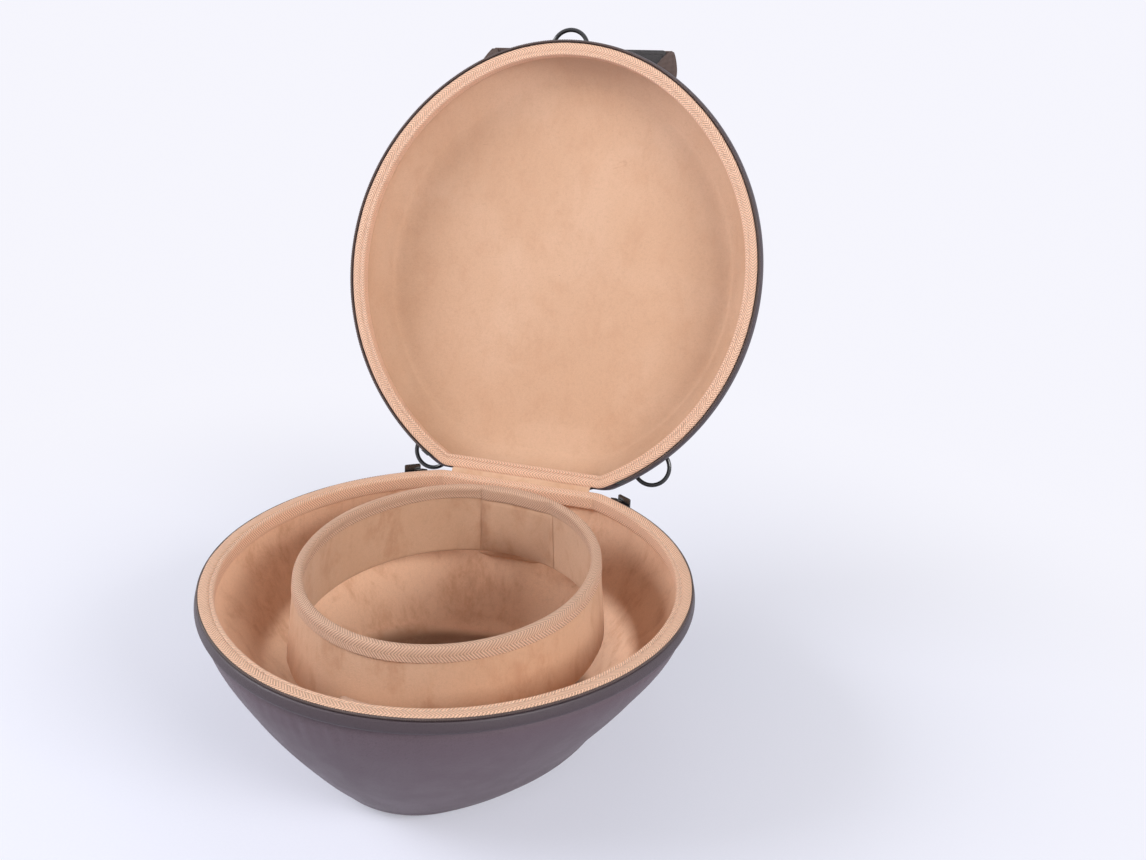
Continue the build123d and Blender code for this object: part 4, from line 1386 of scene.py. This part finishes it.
def lamp(name, place, size, watts, colour):
    """A soft lamp that points at the case."""
    data = bpy.data.lights.new(name, "AREA")
    data.shape = "RECTANGLE"
    data.size, data.size_y = size
    data.energy = watts
    data.color = colour
    made = bpy.data.objects.new(name, data)
    made.location = place
    made.rotation_euler = (Vector(LAMP_AIM) - Vector(place)).to_track_quat("-Z", "Y").to_euler()
    bpy.context.scene.collection.objects.link(made)
    return made


def camera():
    """The photograph's place: a little to the right, above the rim, slightly turned."""
    yaw, pitch, roll = map(radians, CAMERA_TURNS)
    ahead = np.array([sin(yaw) * cos(pitch), cos(yaw) * cos(pitch), -sin(pitch)])
    right = np.array([cos(yaw), -sin(yaw), 0.0])
    up = np.cross(right, ahead)
    across = right * cos(roll) + up * sin(roll)
    upward = -right * sin(roll) + up * cos(roll)
    data = bpy.data.cameras.new("photo view")
    data.lens = CAMERA_LENS
    data.sensor_width = 36.0
    data.clip_start, data.clip_end = 0.01, 60.0
    data.dof.use_dof = False
    made = bpy.data.objects.new("photo view", data)
    turn = Matrix([[across[i], upward[i], -ahead[i]] for i in range(3)])
    made.matrix_world = Matrix.Translation(CAMERA_PLACE) @ turn.to_4x4()
    bpy.context.scene.collection.objects.link(made)
    bpy.context.scene.camera = made
    return made


def backdrop():
    """An even backdrop for the camera; as light it is dimmer from above."""
    world = bpy.data.worlds.new("studio")
    bpy.context.scene.world = world
    t = Tree(world)
    t.tree.nodes.clear()
    place = t.add("ShaderNodeTexCoord").outputs["Generated"]
    rise = t.add("ShaderNodeSeparateXYZ", {0: place}).outputs["Z"]
    dim = t.between(rise, 0.35, 0.85, 0.58, 0.14)
    plain = t.add("ShaderNodeBackground", {"Color": (0.93, 0.94, 1.0, 1), "Strength": dim}).outputs[0]
    shown = t.add("ShaderNodeBackground", {"Color": (*BACKDROP, 1)}).outputs[0]
    mix = t.add("ShaderNodeMixShader", {0: t.direct(), 1: plain, 2: shown}).outputs[0]
    t.add("ShaderNodeOutputWorld", {"Surface": mix})


def stage():
    """Floor, lamps, backdrop and camera."""
    bpy.context.scene.view_settings.view_transform = "Standard"
    corners = [(-20, -20, 0), (20, -20, 0), (20, 20, 0), (-20, 20, 0)]
    floor = make_mesh("studio_floor", corners, [(0, 1, 2, 3)])
    floor.data.materials.append(floor_material())
    for settings in LAMPS:
        lamp(*settings)
    backdrop()
    camera()


def length(name, description, default):
    return FloatProperty(name=name, description=description, default=default, min=0.0001, unit="LENGTH",
                         subtype="DISTANCE", precision=5)


def colour(name, description, default):
    return FloatVectorProperty(name=name, description=description, default=default, size=3, subtype="COLOR",
                               min=0.0, max=1.0)


class CaseSizes(PropertyGroup):
    """Sizes of the weave, seams and zip."""

    twill_pitch: length("Twill pitch", "Width of one slanted rib of the edge tape", 0.0023)
    tape_column: length("Tape column", "Width of one column of the edge tape's herringbone", 0.0052)
    webbing_rib: length("Webbing rib", "Width of one cross rib of the strap", 0.0016)
    stitch_pitch: length("Stitch pitch", "Distance between stitches of the edge tapes", 0.0035)
    coil_pitch: length("Coil pitch", "Distance between the zip's teeth", 0.00138)


class CaseColours(PropertyGroup):
    """Colours of the cloths, skins, zip and fittings."""

    suede: colour("Suede", "Main colour of the lining", (0.660, 0.400, 0.255))
    suede_brushed: colour("Brushed suede", "Where the nap lies flat", (0.745, 0.490, 0.340))
    # Colour of the suede's marks, also used for the painted shade on the lid's wall and the dish's floor
    suede_mark_and_shade: colour("Suede marks", "Darker smudges on the lining", (0.430, 0.225, 0.130))
    tape: colour("Edge tape", "Herringbone tape", (0.940, 0.585, 0.405))
    tape_light: colour("Tape thread", "Pale threads of the tape", (0.960, 0.700, 0.540))
    skin: colour("Outer skin", "Coated outer skin", (0.104, 0.067, 0.082))
    skin_rubbed: colour("Rubbed skin", "Where the skin is rubbed paler", (0.140, 0.100, 0.118))
    webbing: colour("Webbing", "Strap and tabs", (0.105, 0.062, 0.050))
    zip_tape: colour("Zip tape", "Woven tape of the zip", (0.055, 0.030, 0.026))
    zip: colour("Zip coil", "Coil teeth of the zip", (0.058, 0.034, 0.029))
    metal: colour("Enamel", "Rings, sliders and pullers", (0.010, 0.010, 0.011))
    grip: colour("Grip", "Grained face of the strap", (0.028, 0.024, 0.024))
    panel: colour("Base panel", "Hard panel under the case", (0.022, 0.015, 0.015))


class Maker:
    """What the operators share: a place in the undo history."""

    bl_options = {"REGISTER", "UNDO"}

    def execute(self, context):
        self.make()
        return {"FINISHED"}


class CASE_OT_skins(Maker, Operator):
    """Moulded outer skins of both halves"""

    bl_idname = "hat_case.skins"
    bl_label = "Outer skins"

    def make(self):
        for half in HALVES:
            outer_skin(half)
            rim_welt(half)


class CASE_OT_linings(Maker, Operator):
    """Suede linings of both halves"""

    bl_idname = "hat_case.linings"
    bl_label = "Suede linings"

    def make(self):
        for half in HALVES:
            suede_lining(half)


class CASE_OT_rim_tapes(Maker, Operator):
    """Herringbone tapes folded over both rims"""

    bl_idname = "hat_case.rim_tapes"
    bl_label = "Rim tapes"

    def make(self):
        for half in HALVES:
            rim_tape(half)


class CASE_OT_zips(Maker, Operator):
    """Zip tapes, coils and end stops on both rims"""

    bl_idname = "hat_case.zips"
    bl_label = "Zip"

    def make(self):
        for half in HALVES:
            zip_tape(half)
            zip_coil(half)
            zip_stops(half)


class CASE_OT_hinge(Maker, Operator):
    """Cloth hinge, outside and inside"""

    bl_idname = "hat_case.hinge"
    bl_label = "Cloth hinge"

    def make(self):
        outer_hinge_cloth()
        inner_hinge_cloth()


class CASE_OT_collar(Maker, Operator):
    """Crown collar with its edge tape, lapped end and foam seats"""

    bl_idname = "hat_case.collar"
    bl_label = "Crown collar"

    def make(self):
        collar_cover()
        collar_tape()
        collar_flap()
        for end in (-1, 1):
            collar_seat(end)


class CASE_OT_rings(Maker, Operator):
    """Strap rings and the webbing tabs that hold them"""

    bl_idname = "hat_case.rings"
    bl_label = "Strap rings"

    def make(self):
        for name in ("front", "left", "right"):
            ring_tab(name)
            strap_ring(name)


class CASE_OT_handle(Maker, Operator):
    """Carrying strap with its grip and sewn anchors"""

    bl_idname = "hat_case.handle"
    bl_label = "Carrying strap"

    def make(self):
        handle_strap()
        grip()
        for hand in (-1, 1):
            handle_anchor(hand)


class CASE_OT_sliders(Maker, Operator):
    """Zip sliders and pullers, in black enamel"""

    bl_idname = "hat_case.sliders"
    bl_label = "Zip sliders"

    def make(self):
        for name in ("left_slider", "right_slider", "left_puller", "right_puller"):
            show_node(name, "metal", 0.25 * MM)


class CASE_OT_base(Maker, Operator):
    """Hard panel under the case"""

    bl_idname = "hat_case.base"
    bl_label = "Base panel"

    def make(self):
        show_node("base_panel", "panel", 0.4 * MM)


class CASE_OT_stage(Maker, Operator):
    """Floor, lamps, backdrop and camera"""

    bl_idname = "hat_case.stage"
    bl_label = "Studio"

    def make(self):
        stage()


OPERATORS = (
    CASE_OT_skins, CASE_OT_linings, CASE_OT_rim_tapes, CASE_OT_zips, CASE_OT_hinge, CASE_OT_collar,
    CASE_OT_rings, CASE_OT_handle, CASE_OT_sliders, CASE_OT_base, CASE_OT_stage,
)


class CASE_PT_panel(Panel):
    """Buttons for the case's pieces, and their sizes and colours"""

    bl_label = "Hat case"
    bl_idname = "CASE_PT_panel"
    bl_space_type = "VIEW_3D"
    bl_region_type = "UI"
    bl_category = "Hat case"

    def draw(self, context):
        for made in OPERATORS:
            self.layout.operator(made.bl_idname)
        for group in (context.scene.case_sizes, context.scene.case_colours):
            for name in group.bl_rna.properties.keys():
                if name not in ("rna_type", "name"):
                    self.layout.prop(group, name)


CLASSES = (CaseSizes, CaseColours) + OPERATORS + (CASE_PT_panel,)


def register():
    for made in CLASSES:
        bpy.utils.register_class(made)
    bpy.types.Scene.case_sizes = PointerProperty(type=CaseSizes)
    bpy.types.Scene.case_colours = PointerProperty(type=CaseColours)


def unregister():
    del bpy.types.Scene.case_colours
    del bpy.types.Scene.case_sizes
    for made in reversed(CLASSES):
        bpy.utils.unregister_class(made)


def main():
    register()
    for made in OPERATORS:
        group, name = made.bl_idname.split(".")
        getattr(getattr(bpy.ops, group), name)()


if __name__ == "__main__":
    main()
